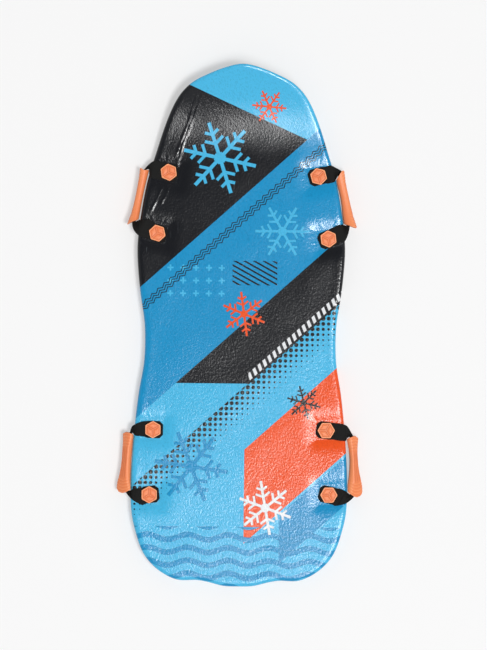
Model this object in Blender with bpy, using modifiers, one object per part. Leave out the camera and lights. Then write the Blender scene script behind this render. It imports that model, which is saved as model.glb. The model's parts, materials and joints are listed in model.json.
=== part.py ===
# Foam snow slider for two riders, lying flat with its nose upturned.
# Metres, +Z up, the nose towards +Y. The origin is on the ground under the middle of the board.
import math

import bmesh
import bpy
from mathutils import Matrix, Vector
from mathutils.geometry import interpolate_bezier

# Board
BOARD_LENGTH = 1.220
BOARD_THICKNESS = 0.038
FRONT_HALF_WIDTH = 0.243
WAIST_HALF_WIDTH = 0.223
REAR_HALF_WIDTH = 0.2535
EDGE_ROUNDING = 0.008
OUTLINE_STEPS = 2
EDGE_SAMPLES = 24

# Nose curve: set back from the tip, and share of the front half width
NOSE_CURVE = [
    (0.0, 0.0), (0.007, 0.148), (0.026, 0.354), (0.045, 0.498), (0.073, 0.609),
    (0.110, 0.691), (0.157, 0.765), (0.199, 0.819), (0.264, 0.901), (0.330, 0.955), (0.420, 1.0),
]
# Hourglass between those two curves: share of the way from nose to tail, and how far the side has come
# out of the waist
WAIST_CURVE = [(0.12, 0.90), (0.26, 0.52), (0.363, 0.12), (0.459, 0.0), (0.576, 0.13)]
HIP_CURVE = [(0.694, 0.41), (0.847, 0.70)]
# Tail curve: ahead of the tail's end, and share of the rear half width. It holds the three lobes.
TAIL_CURVE = [
    (0.310, 0.988), (0.230, 1.0), (0.170, 0.990), (0.119, 0.943), (0.078, 0.882), (0.048, 0.790),
    (0.025, 0.665), (0.0135, 0.545), (0.0145, 0.385), (0.009, 0.262), (0.001, 0.140), (0.0, 0.0),
]

# Nose upturn, one arc from where the flat ends
UPTURN_LENGTH = 0.220
UPTURN_RISE = 0.055
UPTURN_STEPS = 8

# Layers of the board
SKIN = 0.003
SLICK = 0.0012
SLICK_MARGIN = 0.0095
SKIN_LIP = 0.010
GAP = 0.0003

# Dish that the clamped strap presses into the foam
DISH_DEPTH = 0.0035
DISH_BEHIND = 0.0255
DISH_HALF_WIDTH = 0.0240
DISH_SLOPE = 0.020
DISH_PAST_EDGE = 0.070
CUTTER_MARGIN = 0.002

# Plug and base socket
HEX_RADIUS = 0.0205
HEX_HEIGHT = 0.0055
HEX_CHAMFER = 0.0008
RIM_WIDTH = 0.0028
RIB_HALF_WIDTH = 0.0012
POCKET_DEPTH = 0.0011
SHANK_RADIUS = 0.007
SHANK_END = 0.008
BARREL_WALL = 0.0025
FLANGE_RADIUS = 0.018
FLANGE_THICKNESS = 0.0022
FLANGE_RECESS = 0.0003
SOCKET_FLOOR = 0.0030
ROUND_SEGMENTS = 16

# Webbing
STRAP_WIDTH = 0.040
STRAP_THICKNESS = 0.0016
STRAP_TAIL = 0.0235
STRAP_CORNER = 0.008
FOLD_REACH = 0.027
FOLD_CLEARANCE = 0.0003
GATHERED_HALF_WIDTH = 0.0061
STRAP_EDGE_SHARE = 0.5
CORNER_STATIONS = 9
# The webbing's way round the corner: how far it runs out, swings away from the grip and rises at the fold,
# how far it runs back into the grip, how much of the drop comes before that, and where it ends before the mouth
CORNER_SWING = 0.020
CORNER_BULGE = 0.006
CORNER_CREST = 0.0025
CORNER_RETURN = 0.017
CORNER_DROP = 0.35
CORNER_END = 0.0045
# Where the webbing starts and ends to gather, outboard of the board's edge
GATHER_INNER = (-0.012, 0.0005)
GATHER_OUTER = (-0.002, 0.014)
GATHER_THICK = (0.0, 0.014)

# Grip
GRIP_LENGTH = 0.123
GRIP_TONGUE = 0.0075
GRIP_BORE_RADIUS = 0.007
GRIP_HEIGHT = 0.027
GRIP_MOUTH_RADIUS = 0.0085
GRIP_MOUTH_DEPTH = 0.012
GRIP_SEGMENTS = 16
GRIP_STATIONS = 9
GRIP_FLARE = 2.4
SECTION_POWER = 0.78
# Half width, outer reach and inner reach of the grip's section
GRIP_WAIST = (0.0112, 0.0093, 0.0093)
GRIP_FRONT = (0.0145, 0.0120, 0.0102)
GRIP_REAR = (0.0188, 0.0165, 0.0122)

# Handles: side, plug stations along the board, plugs to the board's edge, grip axis to the board's edge,
# grip's shift towards the tail, how far its face is rolled up from outboard, and the plugs' rib angles.
# Front stations are set back from the nose tip, rear stations are ahead of the tail's end.
HANDLES = {
    "front_left": dict(side=-1, plugs=(0.2527, 0.3953), margin=0.0445, standoff=0.0165,
                       shift=-0.0073, roll=0.0, ribs=(98.0, 103.0)),
    "front_right": dict(side=1, plugs=(0.2589, 0.4048), margin=0.0385, standoff=0.0170,
                        shift=-0.0139, roll=0.0, ribs=(46.0, 37.0)),
    "rear_left": dict(side=-1, plugs=(0.3655, 0.2132), margin=0.0440, standoff=0.0196,
                      shift=0.0038, roll=48.0, ribs=(30.0, 90.0)),
    "rear_right": dict(side=1, plugs=(0.3673, 0.2166), margin=0.0430, standoff=0.0195,
                       shift=0.0129, roll=48.0, ribs=(60.0, 60.0)),
}

# Colour, roughness
FINISHES = {
    "printed_skin": ((0.065, 0.473, 0.768), 0.38),
    "foam": ((0.82, 0.83, 0.84), 0.9),
    "slick": ((0.03, 0.035, 0.04), 0.25),
    "webbing": ((0.008, 0.008, 0.009), 0.85),
    "orange_plastic": ((0.87, 0.245, 0.107), 0.45),
    "socket_plastic": ((0.03, 0.03, 0.032), 0.5),
}
PATTERN_FINISHES = {"plug": "orange_plastic", "socket": "socket_plastic", "tab": "webbing"}
CREASE_ANGLE = math.radians(32)
FLAT_ANGLE = math.radians(0.05)
WELD = 1e-6

HALF_LENGTH = BOARD_LENGTH / 2
UPTURN_START = HALF_LENGTH - UPTURN_LENGTH
CORE_BOTTOM = SLICK + GAP
DISH_FLOOR = BOARD_THICKNESS - DISH_DEPTH
TAB_HEIGHT = DISH_FLOOR + GAP + STRAP_THICKNESS / 2
HEAD_BOTTOM = TAB_HEIGHT + STRAP_THICKNESS / 2 + GAP
SOCKET_BORE = SHANK_RADIUS + GAP
BARREL_RADIUS = SOCKET_BORE + BARREL_WALL
BARREL_TOP = TAB_HEIGHT - STRAP_THICKNESS / 2 - GAP
GATHERED_HALF_THICKNESS = STRAP_WIDTH * STRAP_THICKNESS / (4 * GATHERED_HALF_WIDTH)


def smooth(share):
    share = min(1.0, max(0.0, share))
    return share * share * (3 - 2 * share)


def finish(name):
    material = bpy.data.materials.get(name)
    if material is None:
        colour, roughness = FINISHES[name]
        material = bpy.data.materials.new(name)
        material.use_nodes = True
        shader = material.node_tree.nodes["Principled BSDF"]
        shader.inputs["Base Color"].default_value = (*colour, 1.0)
        shader.inputs["Roughness"].default_value = roughness
        shader.inputs["Metallic"].default_value = 0.0
    return material


def new_object(name, mesh, group):
    made = bpy.data.objects.new(name, mesh)
    group.objects.link(made)
    return made


def as_part(made, finish_name):
    made.data.materials.clear()
    made.data.materials.append(finish(finish_name))
    made.data.shade_smooth()
    made.data.set_sharp_from_angle(angle=CREASE_ANGLE)
    return made


def hold(made, parent, place=(0, 0, 0), turn=0.0, axis="Z"):
    made.parent = parent
    made.location = place
    made.rotation_euler = Matrix.Rotation(turn, 3, axis).to_euler()
    return made


def mesh_of(bm, name):
    bmesh.ops.recalc_face_normals(bm, faces=bm.faces)
    mesh = bpy.data.meshes.new(name)
    bm.to_mesh(mesh)
    bm.free()
    return mesh


def settle(made):
    # The evaluated mesh takes the place of the object's own mesh, and its modifiers go.
    bpy.context.view_layer.update()
    graph = bpy.context.evaluated_depsgraph_get()
    mesh = bpy.data.meshes.new_from_object(made.evaluated_get(graph))
    made.modifiers.clear()
    made.data = mesh
    return made


def cut(made, *cutters, how="DIFFERENCE"):
    for cutter in cutters:
        boolean = made.modifiers.new("cut", "BOOLEAN")
        boolean.operation = how
        boolean.object = cutter
        boolean.solver = "EXACT"
    return settle(made)


def loft(name, rings, caps):
    # Quads from ring to ring, and a cap on each end or a last band back to the first ring
    bm = bmesh.new()
    loops = [[bm.verts.new(point) for point in ring] for ring in rings]
    following = loops[1:] if caps else loops[1:] + loops[:1]
    for here, there in zip(loops, following):
        for i, corner in enumerate(here):
            bm.faces.new((here[i - 1], corner, there[i], there[i - 1]))
    if caps:
        bm.faces.new(loops[0])
        bm.faces.new(loops[-1])
    return mesh_of(bm, name)


def cylinder(name, radius, low, high, segments=ROUND_SEGMENTS):
    bm = bmesh.new()
    bmesh.ops.create_cone(
        bm, cap_ends=True, segments=segments, radius1=radius, radius2=radius, depth=high - low,
        matrix=Matrix.Translation((0, 0, (low + high) / 2)),
    )
    return mesh_of(bm, name)


def flat_shape(name, outline, low, high):
    # A flat outline with straight sides, from a filled 2D curve
    curve = bpy.data.curves.new(name, "CURVE")
    curve.dimensions = "2D"
    curve.fill_mode = "BOTH"
    curve.extrude = (high - low) / 2
    spline = curve.splines.new("POLY")
    spline.points.add(len(outline) - 1)
    for point, (x, y) in zip(spline.points, outline):
        point.co = (x, y, 0, 1)
    spline.use_cyclic_u = True
    mesh = mesh_from_curve(curve)
    mesh.transform(Matrix.Translation((0, 0, (low + high) / 2)))
    return mesh


def mesh_from_curve(curve):
    source = new_object(curve.name, curve, bpy.context.scene.collection)
    bpy.context.view_layer.update()
    graph = bpy.context.evaluated_depsgraph_get()
    bm = bmesh.new()
    bm.from_mesh(bpy.data.meshes.new_from_object(source.evaluated_get(graph)))
    bpy.data.objects.remove(source)
    bmesh.ops.remove_doubles(bm, verts=bm.verts, dist=WELD)
    bmesh.ops.dissolve_limit(bm, angle_limit=FLAT_ANGLE, verts=bm.verts, edges=bm.edges)
    return mesh_of(bm, curve.name)


def half_outline():
    # The right side of the board from the nose tip to the middle of the tail
    nose = [(share * FRONT_HALF_WIDTH, HALF_LENGTH - back) for back, share in NOSE_CURVE]
    front_swell = FRONT_HALF_WIDTH - WAIST_HALF_WIDTH
    rear_swell = REAR_HALF_WIDTH - WAIST_HALF_WIDTH
    tail = [(share * REAR_HALF_WIDTH, ahead - HALF_LENGTH) for ahead, share in TAIL_CURVE]
    shoulder = nose[-1][1]
    side = tail[0][1] - shoulder
    waist = [(WAIST_HALF_WIDTH + share * front_swell, shoulder + side * way) for way, share in WAIST_CURVE]
    hip = [(WAIST_HALF_WIDTH + share * rear_swell, shoulder + side * way) for way, share in HIP_CURVE]
    return nose + waist + hip + tail


def outline_knots():
    # Each knot with its two handles, which follow the chord between its neighbours
    right = [Vector((x, y, 0)) for x, y in half_outline()]
    left = [Vector((-p.x, p.y, 0)) for p in reversed(right[1:-1])]
    ring = right + left
    knots = []
    for i, here in enumerate(ring):
        before = ring[i - 1]
        after = ring[(i + 1) % len(ring)]
        along = (after - here).normalized() + (here - before).normalized()
        along.normalize()
        handle_in = here - along * (here - before).length / 3
        handle_out = here + along * (after - here).length / 3
        knots.append((handle_in, here, handle_out))
    return knots


def edge_at(station):
    # Half width of the board at a station along it
    knots = outline_knots()[: len(half_outline())]
    for (_, start, leave), (arrive, end, _) in zip(knots, knots[1:]):
        if end.y <= station <= start.y:
            steps = interpolate_bezier(start, leave, arrive, end, EDGE_SAMPLES)
            return min(steps, key=lambda point: abs(point.y - station)).x
    return REAR_HALF_WIDTH


def slab(name, inset, low, high, rounding):
    # A board-shaped block, its outline moved in and its upper and lower edges rounded
    curve = bpy.data.curves.new(name, "CURVE")
    curve.dimensions = "2D"
    curve.fill_mode = "BOTH"
    curve.resolution_u = OUTLINE_STEPS
    curve.offset = -inset - rounding
    curve.extrude = (high - low) / 2 - rounding
    curve.bevel_depth = rounding
    curve.bevel_resolution = 1
    knots = outline_knots()
    spline = curve.splines.new("BEZIER")
    spline.bezier_points.add(len(knots) - 1)
    spline.use_cyclic_u = True
    for point, (handle_in, here, handle_out) in zip(spline.bezier_points, knots):
        point.handle_left_type = "FREE"
        point.handle_right_type = "FREE"
        point.co = here
        point.handle_left = handle_in
        point.handle_right = handle_out
    mesh = mesh_from_curve(curve)
    mesh.transform(Matrix.Translation((0, 0, (low + high) / 2)))
    return mesh


def upturn(station):
    # Rise of the base above the ground, straight from one station of the upturn to the next
    radius = (UPTURN_LENGTH**2 + UPTURN_RISE**2) / (2 * UPTURN_RISE)
    share = min(1.0, max(0.0, (station - UPTURN_START) / UPTURN_LENGTH))
    step = min(UPTURN_STEPS - 1, int(share * UPTURN_STEPS))

    def arc(index):
        along = index / UPTURN_STEPS * UPTURN_LENGTH
        return radius - math.sqrt(radius**2 - along**2)

    return arc(step) + (arc(step + 1) - arc(step)) * (share * UPTURN_STEPS - step)


def turn_up_nose(made):
    # Cuts the mesh across at each station of the upturn, then lifts it there
    bm = bmesh.new()
    bm.from_mesh(made.data)
    bmesh.ops.dissolve_limit(bm, angle_limit=FLAT_ANGLE, verts=bm.verts, edges=bm.edges)
    for step in range(UPTURN_STEPS):
        station = UPTURN_START + step / UPTURN_STEPS * UPTURN_LENGTH
        bmesh.ops.bisect_plane(
            bm, geom=bm.verts[:] + bm.edges[:] + bm.faces[:], dist=WELD,
            plane_co=(0, station, 0), plane_no=(0, 1, 0),
        )
    for vert in bm.verts:
        vert.co.z += upturn(vert.co.y)
    made.data = mesh_of(bm, made.name)
    return made


class Handle:
    # One handle's frame. Its X axis points outboard, and its plugs lie along its Y axis.
    def __init__(self, name, spec):
        self.name = name
        self.side = spec["side"]
        self.roll = math.radians(spec["roll"])
        self.ribs = spec["ribs"]
        front = name.startswith("front")
        stations = [HALF_LENGTH - s if front else s - HALF_LENGTH for s in spec["plugs"]]
        margin = spec["margin"]
        self.plugs = [Vector((self.side * (edge_at(y) - margin), y, 0)) for y in stations]
        between = self.plugs[1] - self.plugs[0]
        self.span = between.length
        along = between.normalized()
        self.run = -self.side
        across = Vector((along.y * self.run, -along.x * self.run, 0))
        self.angle = math.atan2(across.y, across.x)
        self.reach = margin + spec["standoff"]
        self.middle = self.span / 2 + spec["shift"]
        self.edge = margin

    def local(self, outboard, onward, height):
        # Outboard of the plugs, onward from the fore plug to the aft one
        return Vector((outboard, self.run * onward, height))


def trough_cutter(handle, plug, floor, group):
    # A flat-bottomed dish with sloping sides, open at the board's edge
    rise = DISH_DEPTH + CUTTER_MARGIN
    spread = DISH_SLOPE * rise / DISH_DEPTH
    bm = bmesh.new()
    bmesh.ops.create_cube(bm, size=1)
    for vert in bm.verts:
        out = DISH_PAST_EDGE if vert.co.x > 0 else -DISH_BEHIND
        wide = math.copysign(DISH_HALF_WIDTH, vert.co.y)
        if vert.co.z > 0:
            out += math.copysign(spread, vert.co.x)
            wide += math.copysign(spread, vert.co.y)
        vert.co = (out, wide, floor + (rise if vert.co.z > 0 else 0))
    cutter = new_object("dish_cutter", mesh_of(bm, "dish_cutter"), group)
    cutter.location = plug
    cutter.rotation_euler = (0, 0, handle.angle)
    return cutter


def round_cutter(handle, plug, radius, low, high, group):
    cutter = new_object("hole_cutter", cylinder("hole_cutter", radius, low, high), group)
    cutter.location = plug
    cutter.rotation_euler = (0, 0, handle.angle)
    return cutter


def cut_for_plugs(made, handles, dish_floor, holes, group):
    # A dish where dish_floor is given, and round holes as (radius, low, high)
    cutters = []
    for handle in handles:
        for plug in handle.plugs:
            if dish_floor is not None:
                cutters.append(trough_cutter(handle, plug, dish_floor, group))
            for radius, low, high in holes:
                cutters.append(round_cutter(handle, plug, radius, low, high, group))
    return cut(made, *cutters)


def add_board(handles, parts, cutters):
    above = BOARD_THICKNESS * 2
    barrel_hole = BARREL_RADIUS + GAP
    flange_hole = FLANGE_RADIUS + GAP
    flange_top = FLANGE_RECESS + FLANGE_THICKNESS

    inner_rounding = EDGE_ROUNDING - SKIN
    cavity_low = CORE_BOTTOM + SKIN
    cavity_high = BOARD_THICKNESS - SKIN
    lip_inset = EDGE_ROUNDING + SKIN_LIP
    floor = DISH_FLOOR - SKIN

    skin_mesh = slab("deck_skin", 0, CORE_BOTTOM, BOARD_THICKNESS, EDGE_ROUNDING)
    skin = new_object("deck_skin", skin_mesh, parts)
    skin_holes = [(barrel_hole, floor - SKIN, above), (flange_hole, -above, flange_top + GAP)]
    cut_for_plugs(skin, handles, DISH_FLOOR, skin_holes, cutters)
    cavity_mesh = slab("cavity", SKIN, cavity_low, cavity_high, inner_rounding)
    cavity = new_object("skin_cavity", cavity_mesh, cutters)
    cut_for_plugs(cavity, handles, floor, [], cutters)
    opening = new_object("skin_opening", slab("opening", lip_inset, -above, BOARD_THICKNESS / 2, 0), cutters)
    cut(skin, cavity, opening)
    as_part(turn_up_nose(skin), "printed_skin")

    core_mesh = slab("foam_core", SKIN + GAP, cavity_low + GAP, cavity_high - GAP, inner_rounding - GAP)
    core = new_object("foam_core", core_mesh, parts)
    foot_mesh = slab("foot", lip_inset + GAP, CORE_BOTTOM, BOARD_THICKNESS / 2, 0)
    foot = new_object("core_foot", foot_mesh, cutters)
    cut(core, foot, how="UNION")
    holes = [(barrel_hole, -above, above), (flange_hole, -above, flange_top + GAP)]
    cut_for_plugs(core, handles, floor - GAP, holes, cutters)
    as_part(turn_up_nose(core), "foam")

    slick = new_object("slick_base", slab("slick_base", SLICK_MARGIN, 0, SLICK, 0), parts)
    cut_for_plugs(slick, handles, None, [(flange_hole, -above, above)], cutters)
    as_part(turn_up_nose(slick), "slick")


def pocket_outline(turn):
    # One of the three sunk rhombs between the ribs, in the plane of the head
    def toward(degrees, length):
        angle = math.radians(degrees) + turn
        return Vector((math.cos(angle), math.sin(angle))) * length

    slant = math.sin(math.radians(60))
    reach = HEX_RADIUS - (RIM_WIDTH + RIB_HALF_WIDTH / 2) / slant
    return [
        toward(60, RIB_HALF_WIDTH / slant),
        toward(0, reach) + toward(90, RIB_HALF_WIDTH),
        toward(60, HEX_RADIUS - RIM_WIDTH / slant),
        toward(120, reach) + toward(30, RIB_HALF_WIDTH),
    ]


def plug_mesh(cutters):
    # Hexagonal head with three ribs, on a round shank. A rib points along +X.
    top = HEAD_BOTTOM + HEX_HEIGHT
    bm = bmesh.new()
    bmesh.ops.create_cone(
        bm, cap_ends=True, segments=6, radius1=HEX_RADIUS, radius2=HEX_RADIUS, depth=HEX_HEIGHT,
        matrix=Matrix.Translation((0, 0, (HEAD_BOTTOM + top) / 2)) @ Matrix.Rotation(math.pi / 2, 4, "Z"),
    )
    rim = [e for e in bm.edges if all(v.co.z > top - GAP for v in e.verts)]
    bmesh.ops.bevel(bm, geom=rim, offset=HEX_CHAMFER, segments=1, affect="EDGES")
    head = new_object("plug_pattern", mesh_of(bm, "plug"), cutters)
    shank = new_object(
        "shank_pattern", cylinder("shank", SHANK_RADIUS, SHANK_END, HEAD_BOTTOM + POCKET_DEPTH), cutters
    )
    cut(head, shank, how="UNION")
    for third in range(3):
        outline = pocket_outline(third * math.tau / 3)
        mesh = flat_shape("pocket", outline, top - POCKET_DEPTH, top + CUTTER_MARGIN)
        cut(head, new_object("pocket_cutter", mesh, cutters))
    return head.data


def socket_mesh(cutters):
    # Flanged barrel, turned from one profile, with a blind bore that opens upwards
    flange_top = FLANGE_RECESS + FLANGE_THICKNESS
    profile = [
        (0, SOCKET_FLOOR),
        (SOCKET_BORE, SOCKET_FLOOR),
        (SOCKET_BORE, BARREL_TOP),
        (BARREL_RADIUS, BARREL_TOP),
        (BARREL_RADIUS, flange_top),
        (FLANGE_RADIUS, flange_top),
        (FLANGE_RADIUS, FLANGE_RECESS),
        (0, FLANGE_RECESS),
    ]
    bm = bmesh.new()
    corners = [bm.verts.new((radius, 0, height)) for radius, height in profile]
    for here, there in zip(corners, corners[1:]):
        bm.edges.new((here, there))
    mesh = bpy.data.meshes.new("socket")
    bm.to_mesh(mesh)
    bm.free()
    pattern = new_object("socket_pattern", mesh, cutters)
    screw = pattern.modifiers.new("turn", "SCREW")
    screw.steps = ROUND_SEGMENTS
    screw.render_steps = ROUND_SEGMENTS
    screw.use_merge_vertices = True
    screw.merge_threshold = 1e-5
    return settle(pattern).data


def tab_mesh(cutters):
    # Strap end under the plug, its free corners clipped
    half = STRAP_WIDTH / 2
    fold = FOLD_REACH - STRAP_THICKNESS / 2 - FOLD_CLEARANCE
    outline = [
        (fold, -half), (fold, half), (STRAP_CORNER - STRAP_TAIL, half),
        (-STRAP_TAIL, half - STRAP_CORNER), (-STRAP_TAIL, STRAP_CORNER - half),
        (STRAP_CORNER - STRAP_TAIL, -half),
    ]
    low = TAB_HEIGHT - STRAP_THICKNESS / 2
    high = TAB_HEIGHT + STRAP_THICKNESS / 2
    tab = new_object("tab_pattern", flat_shape("tab", outline, low, high), cutters)
    hole = cylinder("tab_hole", SHANK_RADIUS + GAP, low - CUTTER_MARGIN, high + CUTTER_MARGIN)
    return cut(tab, new_object("tab_hole_cutter", hole, cutters)).data


def strap_corner(handle, mouth):
    # Centre line from the fold to the grip's mouth, with the webbing's width on the outer and the inner side
    # of the turn and its half thickness. The aft corner is the mirror image of a fore one.
    start = Vector((FOLD_REACH, 0, TAB_HEIGHT))
    end = Vector((handle.reach, mouth - CORNER_END, GRIP_HEIGHT))
    leave = start + Vector((CORNER_SWING, -CORNER_BULGE, CORNER_CREST))
    arrive = end - Vector((0, CORNER_RETURN, (GRIP_HEIGHT - TAB_HEIGHT) * (1 - CORNER_DROP)))
    stations = []
    points = interpolate_bezier(start, leave, arrive, end, CORNER_STATIONS)
    for i, point in enumerate(points):
        inner, outer, thick = [
            smooth((point.x - handle.edge - begin) / (stop - begin))
            for begin, stop in (GATHER_INNER, GATHER_OUTER, GATHER_THICK)
        ]
        turned = math.pi / 2 * smooth(i / (CORNER_STATIONS - 1))
        heading = Vector((math.cos(turned), math.sin(turned), 0))
        narrowing = GATHERED_HALF_WIDTH - STRAP_WIDTH / 2
        widths = (STRAP_WIDTH / 2 + narrowing * outer, STRAP_WIDTH / 2 + narrowing * inner)
        half_thick = STRAP_THICKNESS / 2 + (GATHERED_HALF_THICKNESS - STRAP_THICKNESS / 2) * thick
        stations.append((point, heading, widths, half_thick))
    return stations


def strap_mesh(handle):
    # The loop of webbing between the two folds, gathered where it passes through the grip
    fore_mouth = handle.middle - GRIP_LENGTH / 2
    aft_mouth = handle.span - handle.middle - GRIP_LENGTH / 2
    aft = []
    for point, heading, widths, half_thick in reversed(strap_corner(handle, aft_mouth)):
        mirrored = Vector((point.x, handle.span - point.y, point.z))
        aft.append((mirrored, Vector((-heading.x, heading.y, 0)), widths, half_thick))
    rings = []
    for point, heading, (outer, inner), half_thick in strap_corner(handle, fore_mouth) + aft:
        across = Vector((heading.y, -heading.x, 0))
        chamfer = half_thick * STRAP_EDGE_SHARE
        ring = []
        for wide, tall in (
            (outer, half_thick - chamfer), (outer - chamfer, half_thick),
            (chamfer - inner, half_thick), (-inner, half_thick - chamfer),
            (-inner, chamfer - half_thick), (chamfer - inner, -half_thick),
            (outer - chamfer, -half_thick), (outer, chamfer - half_thick),
        ):
            place = point + across * wide + Vector((0, 0, tall))
            ring.append(handle.local(place.x - FOLD_REACH, place.y, place.z - TAB_HEIGHT))
        rings.append(ring)
    return loft("strap_loop", rings, caps=True)


def grip_mesh(handle):
    # Waisted tube about the Y axis, its outer face towards +X and its larger end aft
    rings = []
    half = GRIP_LENGTH / 2
    for station in range(GRIP_STATIONS):
        along = -1 + 2 * station / (GRIP_STATIONS - 1)
        end = GRIP_REAR if along > 0 else GRIP_FRONT
        flare = abs(along) ** GRIP_FLARE
        wide, outer, inner = [w + (e - w) * flare for w, e in zip(GRIP_WAIST, end)]
        ring = []
        for i in range(GRIP_SEGMENTS):
            angle = math.tau * i / GRIP_SEGMENTS
            out = math.copysign(abs(math.cos(angle)) ** SECTION_POWER, math.cos(angle))
            side = math.copysign(abs(math.sin(angle)) ** SECTION_POWER, math.sin(angle))
            onward = along * half
            if abs(along) == 1 and out > 0:
                onward += along * GRIP_TONGUE * out
            ring.append((out * (outer if out > 0 else inner), handle.run * onward, side * wide))
        rings.append(ring)
    # The bore runs back to the front end, and opens out at each mouth.
    inside = half - GRIP_MOUTH_DEPTH
    bore = ((half, GRIP_MOUTH_RADIUS), (inside, GRIP_BORE_RADIUS), (-inside, GRIP_BORE_RADIUS),
            (-half, GRIP_MOUTH_RADIUS))
    for along, radius in bore:
        ring = []
        for i in range(GRIP_SEGMENTS):
            angle = math.tau * i / GRIP_SEGMENTS
            out = math.cos(angle)
            onward = along
            if abs(along) == half and out > 0:
                onward += math.copysign(GRIP_TONGUE * out / 2, along)
            ring.append((out * radius, handle.run * onward, math.sin(angle) * radius))
        rings.append(ring)
    return loft("grip", rings, caps=False)


def add_handle(handle, patterns, parts):
    for place, plug, ribs in zip(("fore", "aft"), handle.plugs, handle.ribs):
        for kind, pattern in patterns.items():
            made = new_object(f"{kind}_{handle.name}_{place}", pattern.copy(), parts)
            turn = math.radians(ribs) if kind == "plug" else handle.angle
            hold(made, None, plug, turn)
            as_part(made, PATTERN_FINISHES[kind])

    swing = bpy.data.objects.new(f"swing_axis_{handle.name}", None)
    parts.objects.link(swing)
    fold = Matrix.Rotation(handle.angle, 3, "Z") @ Vector((FOLD_REACH, 0, TAB_HEIGHT))
    hold(swing, None, handle.plugs[0] + fold, handle.angle)
    strap = new_object(f"strap_{handle.name}", strap_mesh(handle), parts)
    hold(strap, swing)
    as_part(strap, "webbing")

    grip = new_object(f"grip_{handle.name}", grip_mesh(handle), parts)
    place = handle.local(handle.reach - FOLD_REACH, handle.middle, GRIP_HEIGHT - TAB_HEIGHT)
    hold(grip, swing, place, -handle.roll, "Y")
    as_part(grip, "orange_plastic")


def main():
    for old in list(bpy.data.objects):
        bpy.data.objects.remove(old)
    parts = bpy.data.collections.new("foam_snow_slider")
    cutters = bpy.data.collections.new("cutters")
    bpy.context.scene.collection.children.link(parts)
    bpy.context.scene.collection.children.link(cutters)

    handles = [Handle(name, spec) for name, spec in HANDLES.items()]
    add_board(handles, parts, cutters)
    patterns = {"plug": plug_mesh(cutters), "socket": socket_mesh(cutters), "tab": tab_mesh(cutters)}
    for handle in handles:
        add_handle(handle, patterns, parts)
    for cutter in cutters.objects:
        cutter.hide_render = True
        cutter.display_type = "WIRE"


main()
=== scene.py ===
import json
import math

import bmesh
import bpy
import numpy as np
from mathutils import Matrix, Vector
from mathutils.geometry import delaunay_2d_cdt


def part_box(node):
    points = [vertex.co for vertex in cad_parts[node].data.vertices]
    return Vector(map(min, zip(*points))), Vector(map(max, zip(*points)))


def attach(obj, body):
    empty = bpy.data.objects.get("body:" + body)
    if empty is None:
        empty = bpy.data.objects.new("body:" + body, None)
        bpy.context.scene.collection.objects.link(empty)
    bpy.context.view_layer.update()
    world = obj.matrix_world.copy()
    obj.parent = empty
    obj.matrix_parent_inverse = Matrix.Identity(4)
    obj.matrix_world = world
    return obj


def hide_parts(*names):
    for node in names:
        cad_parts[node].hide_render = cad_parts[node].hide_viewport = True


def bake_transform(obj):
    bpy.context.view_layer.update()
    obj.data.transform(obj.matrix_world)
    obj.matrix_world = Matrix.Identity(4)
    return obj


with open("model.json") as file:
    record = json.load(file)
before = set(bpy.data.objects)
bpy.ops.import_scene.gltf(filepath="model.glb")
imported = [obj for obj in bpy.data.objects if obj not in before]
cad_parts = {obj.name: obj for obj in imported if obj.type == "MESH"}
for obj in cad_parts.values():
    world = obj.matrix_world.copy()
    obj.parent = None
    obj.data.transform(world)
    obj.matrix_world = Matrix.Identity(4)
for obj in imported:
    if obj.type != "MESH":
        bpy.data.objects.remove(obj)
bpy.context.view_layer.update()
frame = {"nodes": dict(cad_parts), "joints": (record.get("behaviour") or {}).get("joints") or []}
print("frame loaded")


class Wire:  # a shader socket; an expression on it adds its Math nodes
    def __init__(self, graph, socket):
        self.graph = graph
        self.socket = socket

    def math(self, operation, *others, clamp=False):
        settings = {"operation": operation, "use_clamp": clamp}
        return self.graph.add("ShaderNodeMath", settings, dict(enumerate((self, *others))))

    def after(self, other, operation):  # with the other value first
        return self.graph.add("ShaderNodeMath", {"operation": operation}, {0: other, 1: self})

    def __add__(self, other):
        return self.math("ADD", other)

    def __sub__(self, other):
        return self.math("SUBTRACT", other)

    def __rsub__(self, other):
        return self.after(other, "SUBTRACT")

    def __mul__(self, other):
        return self.math("MULTIPLY", other)

    def __truediv__(self, other):
        return self.math("DIVIDE", other)

    def __rtruediv__(self, other):
        return self.after(other, "DIVIDE")

    def __abs__(self):
        return self.math("ABSOLUTE")

    __radd__ = __add__
    __rmul__ = __mul__

    def over(self, edge, soft):  # 1 where this value is above the edge
        return self.math("MULTIPLY_ADD", 1 / soft, 0.5 - edge / soft, clamp=True)

    def under(self, edge, soft):
        return self.math("MULTIPLY_ADD", -1 / soft, 0.5 + edge / soft, clamp=True)

    def between(self, low, high, soft):
        return self.over(low, soft) * self.under(high, soft)

    def either(self, other):
        return self.math("MAXIMUM", other)


class Graph:  # a node tree; every node comes in through add
    def __init__(self, tree):
        self.tree = tree

    def add(self, kind, settings=None, sockets=None, output=0):
        node = self.tree.nodes.new(kind)
        for key, value in (settings or {}).items():
            setattr(node, key, value)
        for key, value in (sockets or {}).items():
            if isinstance(value, Wire):
                self.link(value, node.inputs[key])
            else:
                colour = node.inputs[key].type == "RGBA"
                node.inputs[key].default_value = (*value, 1) if colour else value
        return Wire(self, node.outputs[output])

    def link(self, wire, socket):
        self.tree.links.new(wire.socket, socket)


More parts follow.
